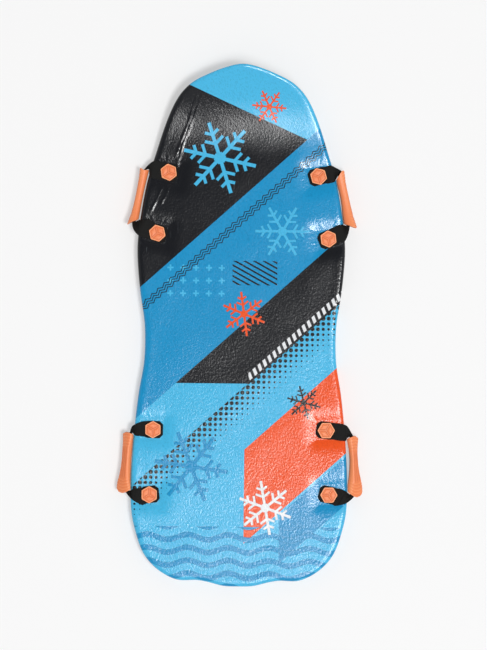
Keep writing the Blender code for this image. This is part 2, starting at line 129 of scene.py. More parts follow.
class Finish(Graph):  # one material
    def __init__(self, name, **constants):
        self.material = bpy.data.materials.new(name)
        self.material.use_nodes = True
        super().__init__(self.material.node_tree)
        self.shader = self.tree.nodes["Principled BSDF"]
        for socket, value in constants.items():
            self.shader.inputs[socket.replace("_", " ")].default_value = value

    def feed(self, **wires):
        for socket, wire in wires.items():
            self.link(wire, self.shader.inputs[socket.replace("_", " ")])

    def place(self):  # the piece's own coordinates, which are the row frame's at rest
        return self.add("ShaderNodeTexCoord", output=3)

    def split(self, vector):
        return [self.add("ShaderNodeSeparateXYZ", None, {0: vector}, output) for output in range(3)]

    def join(self, x, y, z=0.0):
        return self.add("ShaderNodeCombineXYZ", None, {0: x, 1: y, 2: z})

    def mix(self, share, first, second):
        return self.add("ShaderNodeMix", {"data_type": "RGBA"}, {0: share, 6: first, 7: second}, 2)

    def noise(self, vector, scale, detail=2.0, rough=0.5):
        sockets = {"Vector": vector, "Scale": scale, "Detail": detail, "Roughness": rough}
        return self.add("ShaderNodeTexNoise", None, sockets)

    def cells(self, vector, scale):
        return self.add("ShaderNodeTexVoronoi", None, {"Vector": vector, "Scale": scale})

    def bump(self, height, distance):
        sockets = {"Height": height, "Distance": distance, "Strength": 1.0}
        return self.add("ShaderNodeBump", None, sockets)


def stand(name, data):
    made = bpy.data.objects.new(name, data)
    bpy.context.scene.collection.objects.link(made)
    return made


def newPiece(name, points, faces, finish, sharpAngle=38, wear=None):
    mesh = bpy.data.meshes.new(name)
    mesh.from_pydata([tuple(p) for p in points], [], faces)
    if wear is not None:  # above 0 paler, from wear and a painted highlight; below 0 painted shade
        values = mesh.attributes.new("wear", "FLOAT", "POINT").data
        values.foreach_set("value", np.asarray(wear, np.float32))
    mesh.validate()
    facing = bmesh.new()
    facing.from_mesh(mesh)
    bmesh.ops.recalc_face_normals(facing, faces=facing.faces)
    facing.to_mesh(mesh)
    facing.free()
    mesh.update()
    mesh.materials.append(finish.material)
    mesh.shade_smooth()
    mesh.set_sharp_from_angle(angle=math.radians(sharpAngle))
    return stand(name, mesh)


def band(first, second, count):  # quads between two closed rings that start at these vertices
    after = [(i + 1) % count for i in range(count)]
    return [(first + i, first + j, second + j, second + i) for i, j in enumerate(after)]


def closedLoft(rings):  # a solid from rings, a point closing each end
    count = len(rings[0])
    points = [*rings, rings[0].mean(axis=0)[None], rings[-1].mean(axis=0)[None]]
    faces = []
    for index in range(len(rings) - 1):
        faces += band((index + 1) * count, index * count, count)
    start, middle = (len(rings) - 1) * count, len(rings) * count
    faces += [(i, (i + 1) % count, middle) for i in range(count)]
    faces += [(start + (i + 1) % count, start + i, middle + 1) for i in range(count)]
    return np.vstack(points), faces


def smooth(share):
    share = np.clip(share, 0, 1)
    return share * share * (3 - 2 * share)


def hump(apart, width):
    return np.exp(-(apart / width) ** 2)


def circle(count):
    angles = np.arange(count) * math.tau / count
    return np.column_stack([np.cos(angles), np.sin(angles)])


def atHeight(places, height):
    return np.column_stack([places, np.broadcast_to(height, len(places))])


def rotated(x, y, angle):
    return x * math.cos(angle) - y * math.sin(angle), x * math.sin(angle) + y * math.cos(angle)


def resampled(line, stations):  # stations gives the places wanted from the line's length
    run = np.concatenate([[0], np.cumsum(np.linalg.norm(np.diff(line, axis=0), axis=1))])
    places = stations(run[-1])
    return np.column_stack([np.interp(places, run, line[:, k]) for k in (0, 1)])


def camel(name):
    first, *rest = name.split("_")
    return first + "".join(word.capitalize() for word in rest)


handleNames = ("front_left", "front_right", "rear_left", "rear_right")
ends = ("fore", "aft")
faceRoll = {"front_left": 0, "front_right": 0, "rear_left": 48, "rear_right": 48}
ribTurn = {"front_left": (98, 103), "front_right": (46, 37), "rear_left": (30, 90), "rear_right": (60, 60)}


class Handle:  # outward is level and away from the board, onward runs from the fore plug to the aft one
    def __init__(self, name):
        joints = {joint["name"]: joint for joint in frame["joints"]}
        swing = joints[f"swing_{name}"]
        boxes = [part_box(f"plug_{name}_{end}") for end in ends]
        self.name = name
        self.plugs = [np.array([*((low + high) / 2).xy, 0.0]) for low, high in boxes]
        between = self.plugs[1] - self.plugs[0]
        self.span = float(np.linalg.norm(between))
        self.onward = between / self.span
        self.outward = np.array(Vector((0, 0, 1)).cross(Vector(swing["axis"])).normalized())
        grip = np.array(joints[f"roll_{name}"]["pos_m"]) - self.plugs[0]
        self.reach = float(grip @ self.outward)
        self.gripHeight = float(grip[2])
        self.fold = float((np.array(swing["pos_m"]) - self.plugs[0]) @ self.outward)
        self.tabHeight = swing["pos_m"][2]
        self.roll = math.radians(faceRoll[name])

    def at(self, out, on, up):
        return self.plugs[0] + self.outward * out + self.onward * on + np.array((0, 0, up))

    def above(self, out, on):  # many points, from above
        return self.plugs[0][:2] + np.outer(out, self.outward[:2]) + np.outer(on, self.onward[:2])


handles = [Handle(name) for name in handleNames]
seats = [(handle, end, sign) for handle in handles for end, sign in ((0, 1), (1, -1))]
plugPlaces = [handle.plugs[end][:2] for handle, end, _ in seats]
print("handles read")


board = {
    "thickness": 0.038, "upturnStart": 0.390, "upturnRise": 0.055, "upturnLength": 0.220,
    "round": 0.008, "roundSteps": 5, "wallHigh": 0.030, "wallLow": 0.0095, "bulge": (-0.0003, 0.0197),
    "skin": 0.003, "under": 0.0015, "lip": 0.0175, "lipChamfer": 0.0009, "rim": 0.0125, "gap": 0.0003,
    "wallTilt": 0.3, "sameHeight": 0.0006, "samePoint": 0.002,
    "outlineSteps": 24, "outlinePoints": 560, "outlineSmooth": 1.2, "smoothReach": 4,
    "coarse": 0.0066, "fine": 0.0027, "fineReach": 0.056, "dense": 0.010, "sparse": 0.015, "sparseEdge": 0.026,
    "dishDepth": 0.0035, "dishBehind": 0.0255, "dishHalf": 0.0235, "dishSlope": 0.040, "dishPower": 2.6,
    "barrelHole": 0.0101, "flangeHole": 0.0183, "flangeRecess": 0.0028, "holePoints": 40,
    "barrelClear": 0.006, "flangeClear": 0.026, "headClear": 0.0015, "rimClear": 0.002,
    "slickMargin": 0.0095, "slick": 0.0012, "slickRound": 0.0004, "slickRim": 0.006,
}


def upturn(y):
    radius = (board["upturnLength"] ** 2 + board["upturnRise"] ** 2) / (2 * board["upturnRise"])
    along = np.clip(y - board["upturnStart"], 0, board["upturnLength"] * 1.01)
    return radius - np.sqrt(radius ** 2 - along ** 2)


def readOutline():  # the corners of the deck's side wall, joined by one even smooth line
    mesh = frame["nodes"]["deck_skin"].data
    corners = {}
    for face in mesh.polygons:
        if abs(face.normal.z) > board["wallTilt"] or face.normal.xy.dot(face.center.xy) < 0:
            continue
        for index in face.vertices:
            co = mesh.vertices[index].co
            if abs(co.z - float(upturn(co.y)) - board["wallHigh"]) < board["sameHeight"]:
                corners[round(math.atan2(co.y, co.x), 3)] = (co.x, co.y)
    ring = np.array([corners[angle] for angle in sorted(corners)])
    gaps = np.linalg.norm(np.roll(ring, -1, 0) - ring, axis=1)
    ring = ring[gaps > board["samePoint"]]
    gaps = np.linalg.norm(np.roll(ring, -1, 0) - ring, axis=1)
    slopes = (np.roll(ring, -1, 0) - np.roll(ring, 1, 0)) / (gaps + np.roll(gaps, 1))[:, None]
    t = np.linspace(0, 1, board["outlineSteps"], endpoint=False)[:, None]
    dense = []
    for i, here in enumerate(ring):
        j = (i + 1) % len(ring)
        lead, tail = slopes[i] * gaps[i], slopes[j] * gaps[i]
        dense.append((2 * t**3 - 3 * t**2 + 1) * here + (t**3 - 2 * t**2 + t) * lead
                     + (3 * t**2 - 2 * t**3) * ring[j] + (t**3 - t**2) * tail)
    dense = np.vstack([*dense, dense[0][:1]])
    even = resampled(dense, lambda length: np.linspace(0, length, board["outlinePoints"], endpoint=False))
    shifts = range(-board["smoothReach"], board["smoothReach"] + 1)
    kernel = np.exp(-0.5 * (np.array(shifts) / board["outlineSmooth"]) ** 2)
    kernel /= kernel.sum()
    return sum(weight * np.roll(even, shift, 0) for weight, shift in zip(kernel, shifts))


outline = readOutline()
tangent = np.roll(outline, -1, 0) - np.roll(outline, 1, 0)
tangent /= np.linalg.norm(tangent, axis=1)[:, None]
inward = np.column_stack([-tangent[:, 1], tangent[:, 0]])
print("outline of", len(outline), "points")


def inset(distance):
    return outline + inward * distance


def edgeDistance(points):  # how far inside the outline each point lies
    nearest = np.empty(len(points))
    for start in range(0, len(points), 4000):
        part = points[start:start + 4000]
        apart = np.linalg.norm(part[:, None, :] - outline[None, :, :], axis=2)
        close = apart.argmin(axis=1)
        nearest[start:start + 4000] = ((part - outline[close]) * inward[close]).sum(axis=1)
    return nearest


def roundPlug(points, handle, end, sign):
    # outboard and away-from-the-other-plug coordinates, and the distance outside the plug's dish
    away = points - handle.plugs[end][:2]
    out, on = away @ handle.outward[:2], away @ handle.onward[:2] * -sign
    behind = np.maximum(-board["dishBehind"] - out, 0)
    beside = np.maximum(abs(on) - board["dishHalf"], 0)
    return out, on, np.hypot(behind, beside)


def dish(points):
    depth = np.zeros(len(points))
    for seat in seats:
        apart = roundPlug(points, *seat)[2]
        near = np.clip(1 - apart / board["dishSlope"], 0, 1)
        depth = np.maximum(depth, board["dishDepth"] * near ** board["dishPower"])
    return depth


wrinkles = {
    "height": 0.00018, "start": 0.001, "rise": 0.004, "fadeFrom": 0.006, "reach": 0.017,
    "folds": (13, 19, 27), "turn": 1.7, "least": 0.45, "noseward": 0.9, "nosewardReach": 0.030,
}
swells = {
    "height": 0.00026, "from": 0.01, "over": 0.03,
    "rimHeight": 0.00020, "rimPlace": 0.0150, "rimWidth": 0.0050,
}
crease = {
    "height": 0.0010, "width": 0.0020, "step": 0.004, "ends": 6, "least": 0.65, "beat": 0.35, "pace": 0.55,
    "rows": (-0.0075, -0.0045, -0.0022, 0, 0.0022, 0.0045, 0.0075), "clear": 0.0045, "merge": 0.0016,
}
creases = [  # bends pressed into the skin, from the nose down the left side
    [(-0.088, 0.552), (-0.112, 0.492), (-0.138, 0.425), (-0.152, 0.372), (-0.160, 0.345)],
    [(-0.104, 0.545), (-0.124, 0.480), (-0.147, 0.418), (-0.160, 0.380)],
    [(-0.166, 0.334), (-0.173, 0.318), (-0.176, 0.306), (-0.185, 0.290), (-0.190, 0.278)],
    [(-0.184, 0.332), (-0.188, 0.318), (-0.196, 0.300), (-0.204, 0.282), (-0.218, 0.255)],
]


def creaseLines():
    return [resampled(np.array(line), lambda length: np.arange(0, length, crease["step"])) for line in creases]


def relief(points):  # wrinkles round the plugs, creases and a slight swell, above the plain deck
    rise = np.zeros(len(points))
    for index, seat in enumerate(seats):
        out, on, apart = roundPlug(points, *seat)
        angle = np.arctan2(on, out)
        waves = [np.cos(folds * angle + wrinkles["turn"] * index + folds) for folds in wrinkles["folds"]]
        share = smooth((apart - wrinkles["start"]) / wrinkles["rise"])
        share = share * (1 - smooth((apart - wrinkles["fadeFrom"]) / wrinkles["reach"]))
        noseward = smooth((points[:, 1] - plugPlaces[index][1]) / wrinkles["nosewardReach"])
        share = share * (wrinkles["least"] + wrinkles["noseward"] * noseward)
        rise += wrinkles["height"] * sum(waves) / len(waves) * share
    for line in creaseLines():
        apart = np.linalg.norm(points[:, None, :] - line[None, :, :], axis=2)
        close = apart.argmin(axis=1)
        toEnd = np.minimum(close, len(line) - 1 - close) / len(line)
        strength = crease["least"] + crease["beat"] * np.sin(close * crease["pace"])
        strength = strength * smooth(toEnd * crease["ends"])
        rise += crease["height"] * strength * hump(apart.min(axis=1), crease["width"])
    x, y = points[:, 0], points[:, 1]
    swell = np.sin(31 * x + 17 * y + 0.6) + np.sin(23 * x - 38 * y + 2.1) + np.sin(57 * x + 9 * y) * np.sin(44 * y)
    inside = edgeDistance(points)
    swell = swells["height"] * swell / 2 * smooth((inside - swells["from"]) / swells["over"])
    swell += swells["rimHeight"] * hump(inside - swells["rimPlace"], swells["rimWidth"])
    return rise + swell * (1 - dish(points) / board["dishDepth"])


def deckHeight(points):
    return board["thickness"] - dish(points) + relief(points)


def boardTop(points):  # the plain deck's height with its rounded rim, far below beside the board
    apart = edgeDistance(points)
    radius = board["round"]
    short = np.clip(radius - apart, 0, radius)
    height = board["wallHigh"] + np.sqrt(radius ** 2 - short ** 2) - dish(points) + upturn(points[:, 1])
    return np.where(apart > 0.0002, height, -1)


def gridPoints(spacing, low, high):
    rows = np.arange(low[1], high[1], spacing * math.sqrt(3) / 2)
    found = []
    for index, y in enumerate(rows):
        x = np.arange(low[0] + (index % 2) * spacing / 2, high[0], spacing)
        found.append(np.column_stack([x, np.full(len(x), y)]))
    return np.vstack(found)


def nearestPlug(points):
    return np.min([np.linalg.norm(points - plug, axis=1) for plug in plugPlaces], axis=0)


def deckPoints():
    reach = board["fineReach"]
    coarse = gridPoints(board["coarse"], outline.min(0), outline.max(0))
    coarse = coarse[nearestPlug(coarse) > reach]
    fine = []
    for plug in plugPlaces:
        patch = gridPoints(board["fine"], plug - reach, plug + reach)
        away = np.linalg.norm(patch - plug, axis=1)
        fine.append(patch[(away < reach) & (away > board["barrelHole"] + board["headClear"])])
    rows = []
    for line in creaseLines():
        along = np.gradient(line, axis=0)
        along /= np.linalg.norm(along, axis=1)[:, None]
        side = np.column_stack([-along[:, 1], along[:, 0]])
        rows += [line + side * offset for offset in crease["rows"]]
    rows = np.vstack(rows)
    rows = rows[nearestPlug(rows) > reach]
    apart = np.array([np.linalg.norm(rows - point, axis=1).min() for point in coarse])
    coarse = coarse[apart > crease["clear"]]
    rows = rows[np.unique((rows / crease["merge"]).round().astype(int), axis=0, return_index=True)[1]]
    points = np.vstack([coarse, *fine, rows])
    return points[edgeDistance(points) > board["rim"] + board["rimClear"]]


def lowPoints(keepOff, spacing):
    points = gridPoints(spacing, outline.min(0), outline.max(0))
    points = points[nearestPlug(points) > keepOff]
    return points[edgeDistance(points) > board["sparseEdge"]]


def insideLoop(points, loop):
    x, y = points[:, 0], points[:, 1]
    inside = np.zeros(len(points), bool)
    for here, there in zip(loop, np.roll(loop, -1, 0)):
        crosses = (here[1] > y) != (there[1] > y)
        if here[1] != there[1]:
            inside ^= crosses & (x < (there[0] - here[0]) * (y - here[1]) / (there[1] - here[1]) + here[0])
    return inside


def layer(rimLoop, radius, inner):  # triangles over the board, with a round hole at each plug
    loops = [rimLoop] + [plug + radius * circle(board["holePoints"]) for plug in plugPlaces]
    points = np.vstack(loops + [inner])
    owner = np.full(len(points), -1)
    edges, start = [], 0
    for number, loop in enumerate(loops):
        owner[start:start + len(loop)] = number
        edges += [(start + i, start + (i + 1) % len(loop)) for i in range(len(loop))]
        start += len(loop)
    _, _, faces, origins, _, _ = delaunay_2d_cdt([Vector(p) for p in points], edges, [], 0, 1e-9)
    back = [sources[0] for sources in origins]
    faces = np.array([[back[i] for i in face] for face in faces])
    owners = owner[faces]
    single = (owners[:, 0] == owners[:, 1]) & (owners[:, 1] == owners[:, 2])
    drop = single & (owners[:, 0] > 0)
    rimOnly = np.where(single & (owners[:, 0] == 0))[0]
    drop[rimOnly] = ~insideLoop(points[faces[rimOnly]].mean(axis=1), rimLoop)
    return points, faces[~drop]


def slab(name, finish, rings, top, low, holes):
    # rings run from the upper layer's edge round to the lower layer's edge, as (inset, height or None);
    # top and low are each layer's height and inner points;
    # holes run down through both layers, as (radius, height or None)
    rim, count = len(outline), board["holePoints"]
    topPlaces, topFaces = layer(inset(rings[0][0]), holes[0][0], top[1])
    lowPlaces, lowFaces = layer(inset(rings[-1][0]), holes[-1][0], low[1])
    points = [atHeight(topPlaces, top[0](topPlaces)), atHeight(lowPlaces, low[0](lowPlaces))]
    lowStart = len(topPlaces)
    start = lowStart + len(lowPlaces)
    faces = [tuple(face) for face in topFaces]
    faces += [tuple(lowStart + i for i in reversed(face)) for face in lowFaces]
    previous = 0
    for distance, height in rings[1:-1]:
        ring = inset(distance)
        points.append(atHeight(ring, height(ring) if callable(height) else height))
        faces += band(start, previous, rim)
        previous, start = start, start + rim
    faces += band(lowStart, previous, rim)
    for number, plugPlace in enumerate(plugPlaces):
        previous = rim + number * count
        for radius, height in holes[1:-1]:
            points.append(atHeight(plugPlace + radius * circle(count), height))
            faces += band(previous, start, count)
            previous, start = start, start + count
        faces += band(previous, lowStart + rim + number * count, count)
    points = np.vstack(points)
    points[:, 2] += upturn(points[:, 1])
    return newPiece(name, points, faces, finish)


def roundRings(radius, centreHeight, begin, finish, steps=3):
    angles = np.linspace(math.radians(begin), math.radians(finish), steps)
    return [(board["round"] - radius * math.cos(a), centreHeight + radius * math.sin(a)) for a in angles]


def dipped(rings):  # the rim sinks with the dishes, less so lower down
    def sink(height):
        share = max(0.0, (height - board["wallLow"]) / (board["thickness"] - board["wallLow"]))
        return lambda points: height - dish(points) * share
    return [(distance, sink(height)) for distance, height in rings]


printedFilm = Finish("printedFilm", Specular_IOR_Level=0.45)
closedFoam = Finish("closedFoam", Roughness=0.9)
slickSheet = Finish("slickSheet", Roughness=0.25)


def buildBoard():
    outer, high, low = board["round"], board["wallHigh"], board["wallLow"]
    steps, skin, gap, lip, under = (board[key] for key in ("roundSteps", "skin", "gap", "lip", "under"))
    top, edge = board["thickness"] - skin, (board["rim"], None)
    barrel, flange, recess = board["barrelHole"], board["flangeHole"], board["flangeRecess"]
    inner = outer - skin
    rings = [edge, *dipped(roundRings(outer, high, 90, 0, steps)), *dipped([board["bulge"]]),
             *roundRings(outer, low, 0, -90, steps), (lip, under), (lip, under + skin),
             *roundRings(inner, low, -90, 0), *dipped(roundRings(inner, high, 0, 90)), edge]
    dense = lowPoints(barrel + board["barrelClear"], board["dense"])
    skinPiece = slab("deckSkin", printedFilm, rings, (deckHeight, deckPoints()),
                     (lambda points: top - dish(points), dense), [(barrel, None), (barrel, None)])
    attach(skinPiece, "board")
    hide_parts("deck_skin")
    print("deck skin:", len(skinPiece.data.polygons), "faces")

    rings = [edge, *dipped(roundRings(inner - gap, high, 90, 0)), *roundRings(inner - gap, low, 0, -90),
             (lip + gap, under + skin + gap), (lip + gap, under), (lip + board["lipChamfer"], None)]
    sparse = lowPoints(board["flangeClear"], board["sparse"])
    holes = [(barrel, None), (barrel, recess), (flange, recess), (flange, None)]
    core = slab("foamCore", closedFoam, rings, (lambda points: top - gap - dish(points), dense),
                (lambda points: under, sparse), holes)
    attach(core, "board")
    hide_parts("foam_core")

    slick, margin, corner = board["slick"], board["slickMargin"], board["slickRound"]
    rim = (margin + board["slickRim"], None)
    rings = [rim, (margin + corner, slick), (margin, slick - corner), (margin, corner),
             (margin + corner, 0.0), rim]
    base = slab("slickBase", slickSheet, rings, (lambda points: slick, sparse), (lambda points: 0.0, sparse),
                [(flange, None), (flange, None)])
    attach(base, "board")
    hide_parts("slick_base")


buildBoard()


orangePlastic = Finish("orangePlastic", Roughness=0.45)
socketPlastic = Finish("socketPlastic", Roughness=0.5)

plug = {
    "radius": 0.0205, "low": 0.0367, "high": 0.0422, "edge": 0.0009, "bevel": (90, 60, 30, 0), "chamfer": 0.0003,
    "rim": 0.0030, "ribHalf": 0.0013, "pocket": 0.0014, "slope": 0.0008,
    "crown": 0.0009, "crownFrom": 0.0006, "crownOver": 0.0035, "grooveAt": 0.0005, "grooveWidth": 0.0008,
    "rimWear": 0.75, "rimKeepsClean": 0.4, "roundCorner": 26, "sharpCorner": 200, "sharpWithin": 0.5,
    "shank": 0.007, "shankEnd": 0.008, "shankFillet": 0.0004, "shankTip": 0.001, "around": 120, "rings": 42,
}
hexFacing = np.radians(30 + 60 * np.arange(6))  # the hexagon has a corner on +X


def hexRing(radius, rounded=True):
    angles = np.arange(plug["around"]) * math.tau / plug["around"]
    facing = np.cos(angles[:, None] - hexFacing[None, :])
    power = plug["roundCorner" if rounded else "sharpCorner"]
    reach = radius * math.cos(math.pi / 6) / (np.maximum(facing, 1e-6) ** power).sum(axis=1) ** (1 / power)
    return np.column_stack([np.cos(angles), np.sin(angles)]) * reach[:, None]


def headForm(x, y):  # the head's height, and its marks: a rim paled by wear and a painted highlight, and painted shade along the pockets' edges at the ribs and rim
    inside = plug["radius"] * math.cos(math.pi / 6) - np.max([rotated(x, y, -a)[0] for a in hexFacing], axis=0)
    away = np.full(len(x), 1.0)
    for third in range(3):
        along, beside = rotated(x, y, -math.tau * third / 3)
        away = np.minimum(away, np.where(along > 0, abs(beside), np.hypot(x, y)))
    depth = np.minimum(inside - plug["rim"], away - plug["ribHalf"])
    pocket = smooth(depth / plug["slope"] + 0.5)
    crown = plug["crown"] * smooth((depth - plug["crownFrom"]) / plug["crownOver"])
    groove = hump(depth - plug["grooveAt"], plug["grooveWidth"])
    rim = 1 - smooth((inside - plug["rim"] * plug["rimWear"]) / plug["slope"] + 0.5)
    return plug["high"] - pocket * (plug["pocket"] - crown), rim - groove * (1 - plug["rimKeepsClean"] * rim)


def plugMesh():
    count, radius, edge, low = plug["around"], plug["radius"], plug["edge"], plug["low"]
    rings, wear = [], []
    for share in (*np.linspace(0.02, 0.90, plug["rings"]), 0.93, 0.955):
        ring = hexRing(radius * share, share > plug["sharpWithin"])
        # rubbed holds the paler rim from wear and painted highlight, and the painted shade at the pocket edges
        height, rubbed = headForm(ring[:, 0], ring[:, 1])
        rings.append(atHeight(ring, height))
        wear.append(rubbed)
    for angle in np.radians(plug["bevel"]):
        ring = hexRing(radius - edge + edge * math.cos(angle))
        rings.append(atHeight(ring, plug["high"] - edge + edge * math.sin(angle)))
    for reach, height in ((radius, low + plug["chamfer"]), (radius - plug["chamfer"], low)):
        rings.append(atHeight(hexRing(reach), height))
    shank, end, fillet, tip = (plug[key] for key in ("shank", "shankEnd", "shankFillet", "shankTip"))
    for reach, height in ((shank + fillet, low), (shank, low - fillet), (shank, end + tip), (shank - tip, end),
                          (fillet, end)):
        rings.append(atHeight(circle(count) * reach, height))
    # the rounded top edge is paler, from wear and a painted highlight
    wear += [np.full(count, 1.0 if index < 3 else 0.0) for index in range(len(rings) - len(wear))]
    return *closedLoft(rings), np.concatenate([*wear, [0, 0]])


socket = {
    "around": 48,
    "profile": [
        (0.0006, 0.0030), (0.0066, 0.0030), (0.0073, 0.0037), (0.0073, 0.0339), (0.0079, 0.0345), (0.0092, 0.0345),
        (0.0098, 0.0339), (0.0098, 0.0036), (0.0109, 0.0025), (0.0174, 0.0025), (0.0180, 0.0019), (0.0180, 0.0009),
        (0.0174, 0.0003), (0.0136, 0.0003), (0.0132, 0.0007), (0.0060, 0.0007), (0.0056, 0.0003), (0.0006, 0.0003),
    ],
}


def socketMesh():
    around = circle(socket["around"])
    return closedLoft([atHeight(around * radius, height) for radius, height in socket["profile"]])


def moved(points, degrees, place):
    x, y = rotated(points[:, 0], points[:, 1], math.radians(degrees))
    return np.column_stack([x + place[0], y + place[1], points[:, 2]])


def buildPlugs():
    head, headFaces, headWearAndLight = plugMesh()
    barrel, barrelFaces = socketMesh()
    for handle, end, _ in seats:
        name, place = f"{handle.name}_{ends[end]}", handle.plugs[end]
        placed = moved(head, ribTurn[handle.name][end], place)
        made = newPiece(camel(f"plug_{name}"), placed, headFaces, orangePlastic, wear=headWearAndLight)
        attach(made, "board")
        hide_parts(f"plug_{name}")
        made = newPiece(camel(f"socket_{name}"), moved(barrel, 0, place), barrelFaces, socketPlastic)
        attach(made, "board")
        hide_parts(f"socket_{name}")


buildPlugs()
print("plugs and sockets made")


blackWebbing = Finish("blackWebbing", Specular_IOR_Level=0.22)

strap = {
    "half": 0.020, "thick": 0.0016, "gathered": 0.0058, "gatheredThick": 0.0048, "narrowing": 0.008,
    "tail": 0.0235, "clip": 0.008, "tailSteps": (0, 0.0005, 0.003, 0.0055, 0.008), "tailTrim": 0.0004,
    "tabSteps": (-0.008, 0.0, 0.008), "freeFrom": 0.0125, "cornerStations": 40, "gripStations": 16,
    "crest": 0.0016, "crestPace": 1.25, "dropFrom": 0.42, "dropOver": 0.58,
    "pleats": 3, "pleatDepth": 0.0010, "pleatBelow": 0.6, "across": 29, "edgePower": 10, "edgeLeast": 0.3,
    "hole": 0.0073, "bend": 0.004, "foldStep": 0.0016, "foldWidth": 0.0012, "foldFade": 0.011,
    "clear": 0.0004, "ease": 0.8, "cornerGap": 2.0, "cornerStart": 0.2, "cornerReach": 6.0,
}
# Each corner's two edges in millimetres: outboard of the plug, and towards the other plug. The webbing runs from
# the plug at this tilt, and the inner edge is the one on the grip's side. A fold line is where it doubles over.
corners = {
    "front_left": (
        {"tilt": 2, "outer": [(24, -21), (35.8, -21.3), (45.4, -14.7), (51.9, -6.7), (57.8, 2.6)],
         "inner": [(25.6, 20.2), (37.2, 21.3), (41.8, 17.2), (45.0, 10.0)]},
        {"tilt": 9, "outer": [(28.6, -16.4), (39.8, -14.4), (51.9, -6.7), (59.7, 3.7), (63.2, 14.9)],
         "inner": [(18.5, 25.5), (25, 29.4), (34.2, 26.9), (43.5, 23.4)],
         "fold": [(36, -18), (47, 26)]},
    ),
    "front_right": (
        {"tilt": -6, "outer": [(19.5, -19.8), (31.8, -21.2), (44.2, -13.6), (55.2, -5.2)],
         "inner": [(20.7, 19.9), (34.5, 18.4)]},
        {"tilt": 13, "outer": [(26.6, -13.3), (36.6, -11.9), (45.2, -0.5), (50.9, 11.5), (54.6, 22.1)],
         "inner": [(20.9, 26.8), (28.8, 28.6), (36.5, 28.4)]},
    ),
    "rear_left": (
        {"tilt": 2, "outer": [(25.8, -17.4), (32.7, -14.6), (46.5, -7.5), (51.1, -0.8), (53.9, 9.2)],
         "inner": [(19.7, 17.9), (28.2, 17.1), (37.0, 17.0)]},
        {"tilt": -10, "outer": [(14.7, -25.2), (27, -20.6), (37.2, -15.5), (47.6, -6.8), (54.4, 0.7)],
         "inner": [(18.9, 14.2), (30.2, 12.9), (36.5, 12.2)]},
    ),
    "rear_right": (
        {"tilt": 11, "outer": [(26.2, -15.7), (41.6, -12.7), (49.9, -7.7), (56.6, 3.2), (62.6, 15.5)],
         "inner": [(14.8, 21.8), (28.8, 24.8), (44.5, 26.4)], "fold": [(45, -16), (45, 30)]},
        {"tilt": -15, "outer": [(14.3, -26.1), (27.1, -24.5), (38.6, -21.7), (50.2, -15), (58.6, -7.7)],
         "inner": [(14.5, 15.7), (24.4, 13.9), (31.4, 11.5), (39, 7.4)], "fold": [(18, -28), (41, 6)]},
    ),
}
# Each grip's outline from above, in millimetres: outboard of the fore plug, and on towards the aft one.
# The ends run from the inner corner round the tongue.
gripForms = {
    "front_left": {
        "outer": [(69.2, 1.3), (67.3, 23.6), (66.5, 45), (66.7, 63), (67.4, 85), (69.2, 103), (72.3, 119),
                  (75.4, 137)],
        "inner": [(46.3, 3.2), (47.2, 20), (48.3, 42), (49.0, 60), (49.3, 81), (49.2, 99), (49.2, 121)],
        "fore": [(46.3, 3.2), (52, 4.2), (58, 5.6), (63.5, 3.4), (69.2, 1.3)],
        "aft": [(49.2, 121.1), (55, 125), (62.6, 129), (69.5, 133), (75.6, 138.2)],
    },
    "front_right": {
        "outer": [(62.3, -3.9), (62, 8.9), (61.4, 22.4), (61.4, 39), (62.7, 59), (64.1, 79), (66.2, 99),
                  (70.7, 122), (71.5, 131)],
        "inner": [(39.7, 14.4), (41.5, 31.3), (42.6, 52.6), (42.5, 76.8), (41.2, 99.2), (40.3, 118.7)],
        "fore": [(39.7, 14.4), (46.3, 6.4), (55.6, -3.6), (59, -5.2), (62.3, -3.9)],
        "aft": [(40.3, 118.7), (46, 121.4), (53.6, 125), (62, 129.5), (69, 132.7), (71.5, 131.6)],
    },
    "rear_left": {
        "outer": [(70.2, 13.7), (69.2, 33.5), (69.1, 55), (69.1, 76), (70.5, 97.4), (72.9, 116), (76.7, 133),
                  (77.6, 145)],
        "inner": [(42.4, 16.4), (45.5, 39.3), (46.5, 67.8), (46.4, 89), (45.2, 110.3), (43.4, 127.2),
                  (40.4, 140.5)],
        "fore": [(42.4, 16.4), (49, 12.5), (55.5, 10.0), (64.1, 9.6), (70.2, 13.0)],
        "aft": [(40.4, 140.5), (47, 145), (54.5, 150), (63.6, 152.7), (72.2, 150.7), (77.6, 143.2)],
    },
    "rear_right": {
        "outer": [(74.6, 21), (72.6, 37), (71.4, 58), (72, 87), (74, 108), (77.3, 127), (79.7, 144), (79.6, 150)],
        "inner": [(48.1, 22), (50.8, 43.4), (51.8, 71.8), (50.2, 100), (47.7, 121.3), (43.9, 145.3)],
        "fore": [(48.1, 22), (56, 18.1), (63.2, 16.0), (68.9, 15.8), (74.6, 20.5)],
        "aft": [(43.9, 145.3), (54.9, 154.2), (59, 157.2), (66, 159.2), (73.2, 157), (77.6, 153.2), (79.7, 147)],
    },
}
grip = {
    "waistHalf": 0.0112, "foreHalf": 0.0145, "aftHalf": 0.0188, "flare": 2.4, "square": 0.66, "oval": 0.95,
    "turn": 20, "turnShares": (0, -1, 1, -0.5, 0.5), "clear": 0.0005, "giveWay": 0.0078,
    "outer": 0.0105, "inner": 0.0095, "length": 0.066, "around": 88, "stations": 161,
    "round": 0.0011, "roundTip": 0.3, "roundShare": 0.35,
    "bore": 0.0078, "boreClear": 0.0004, "mouthWall": 0.0018, "mouthDepth": 0.020,
    "boreAt": (1, 0.985, 0.93, 0.86, 0.78, 0.7, 0.4, 0, -0.4, -0.7, -0.78, -0.86, -0.93, -0.985, -1),
    "stepFrom": 0.50, "stepLength": 0.0064, "stepHeight": 0.0008, "stepFace": 1.5,
    "groove": 0.0009, "grooveWidth": 0.12, "grooves": (-0.42, 0.0, 0.42), "grooveEnd": 0.42, "grooveFade": 0.14,
}


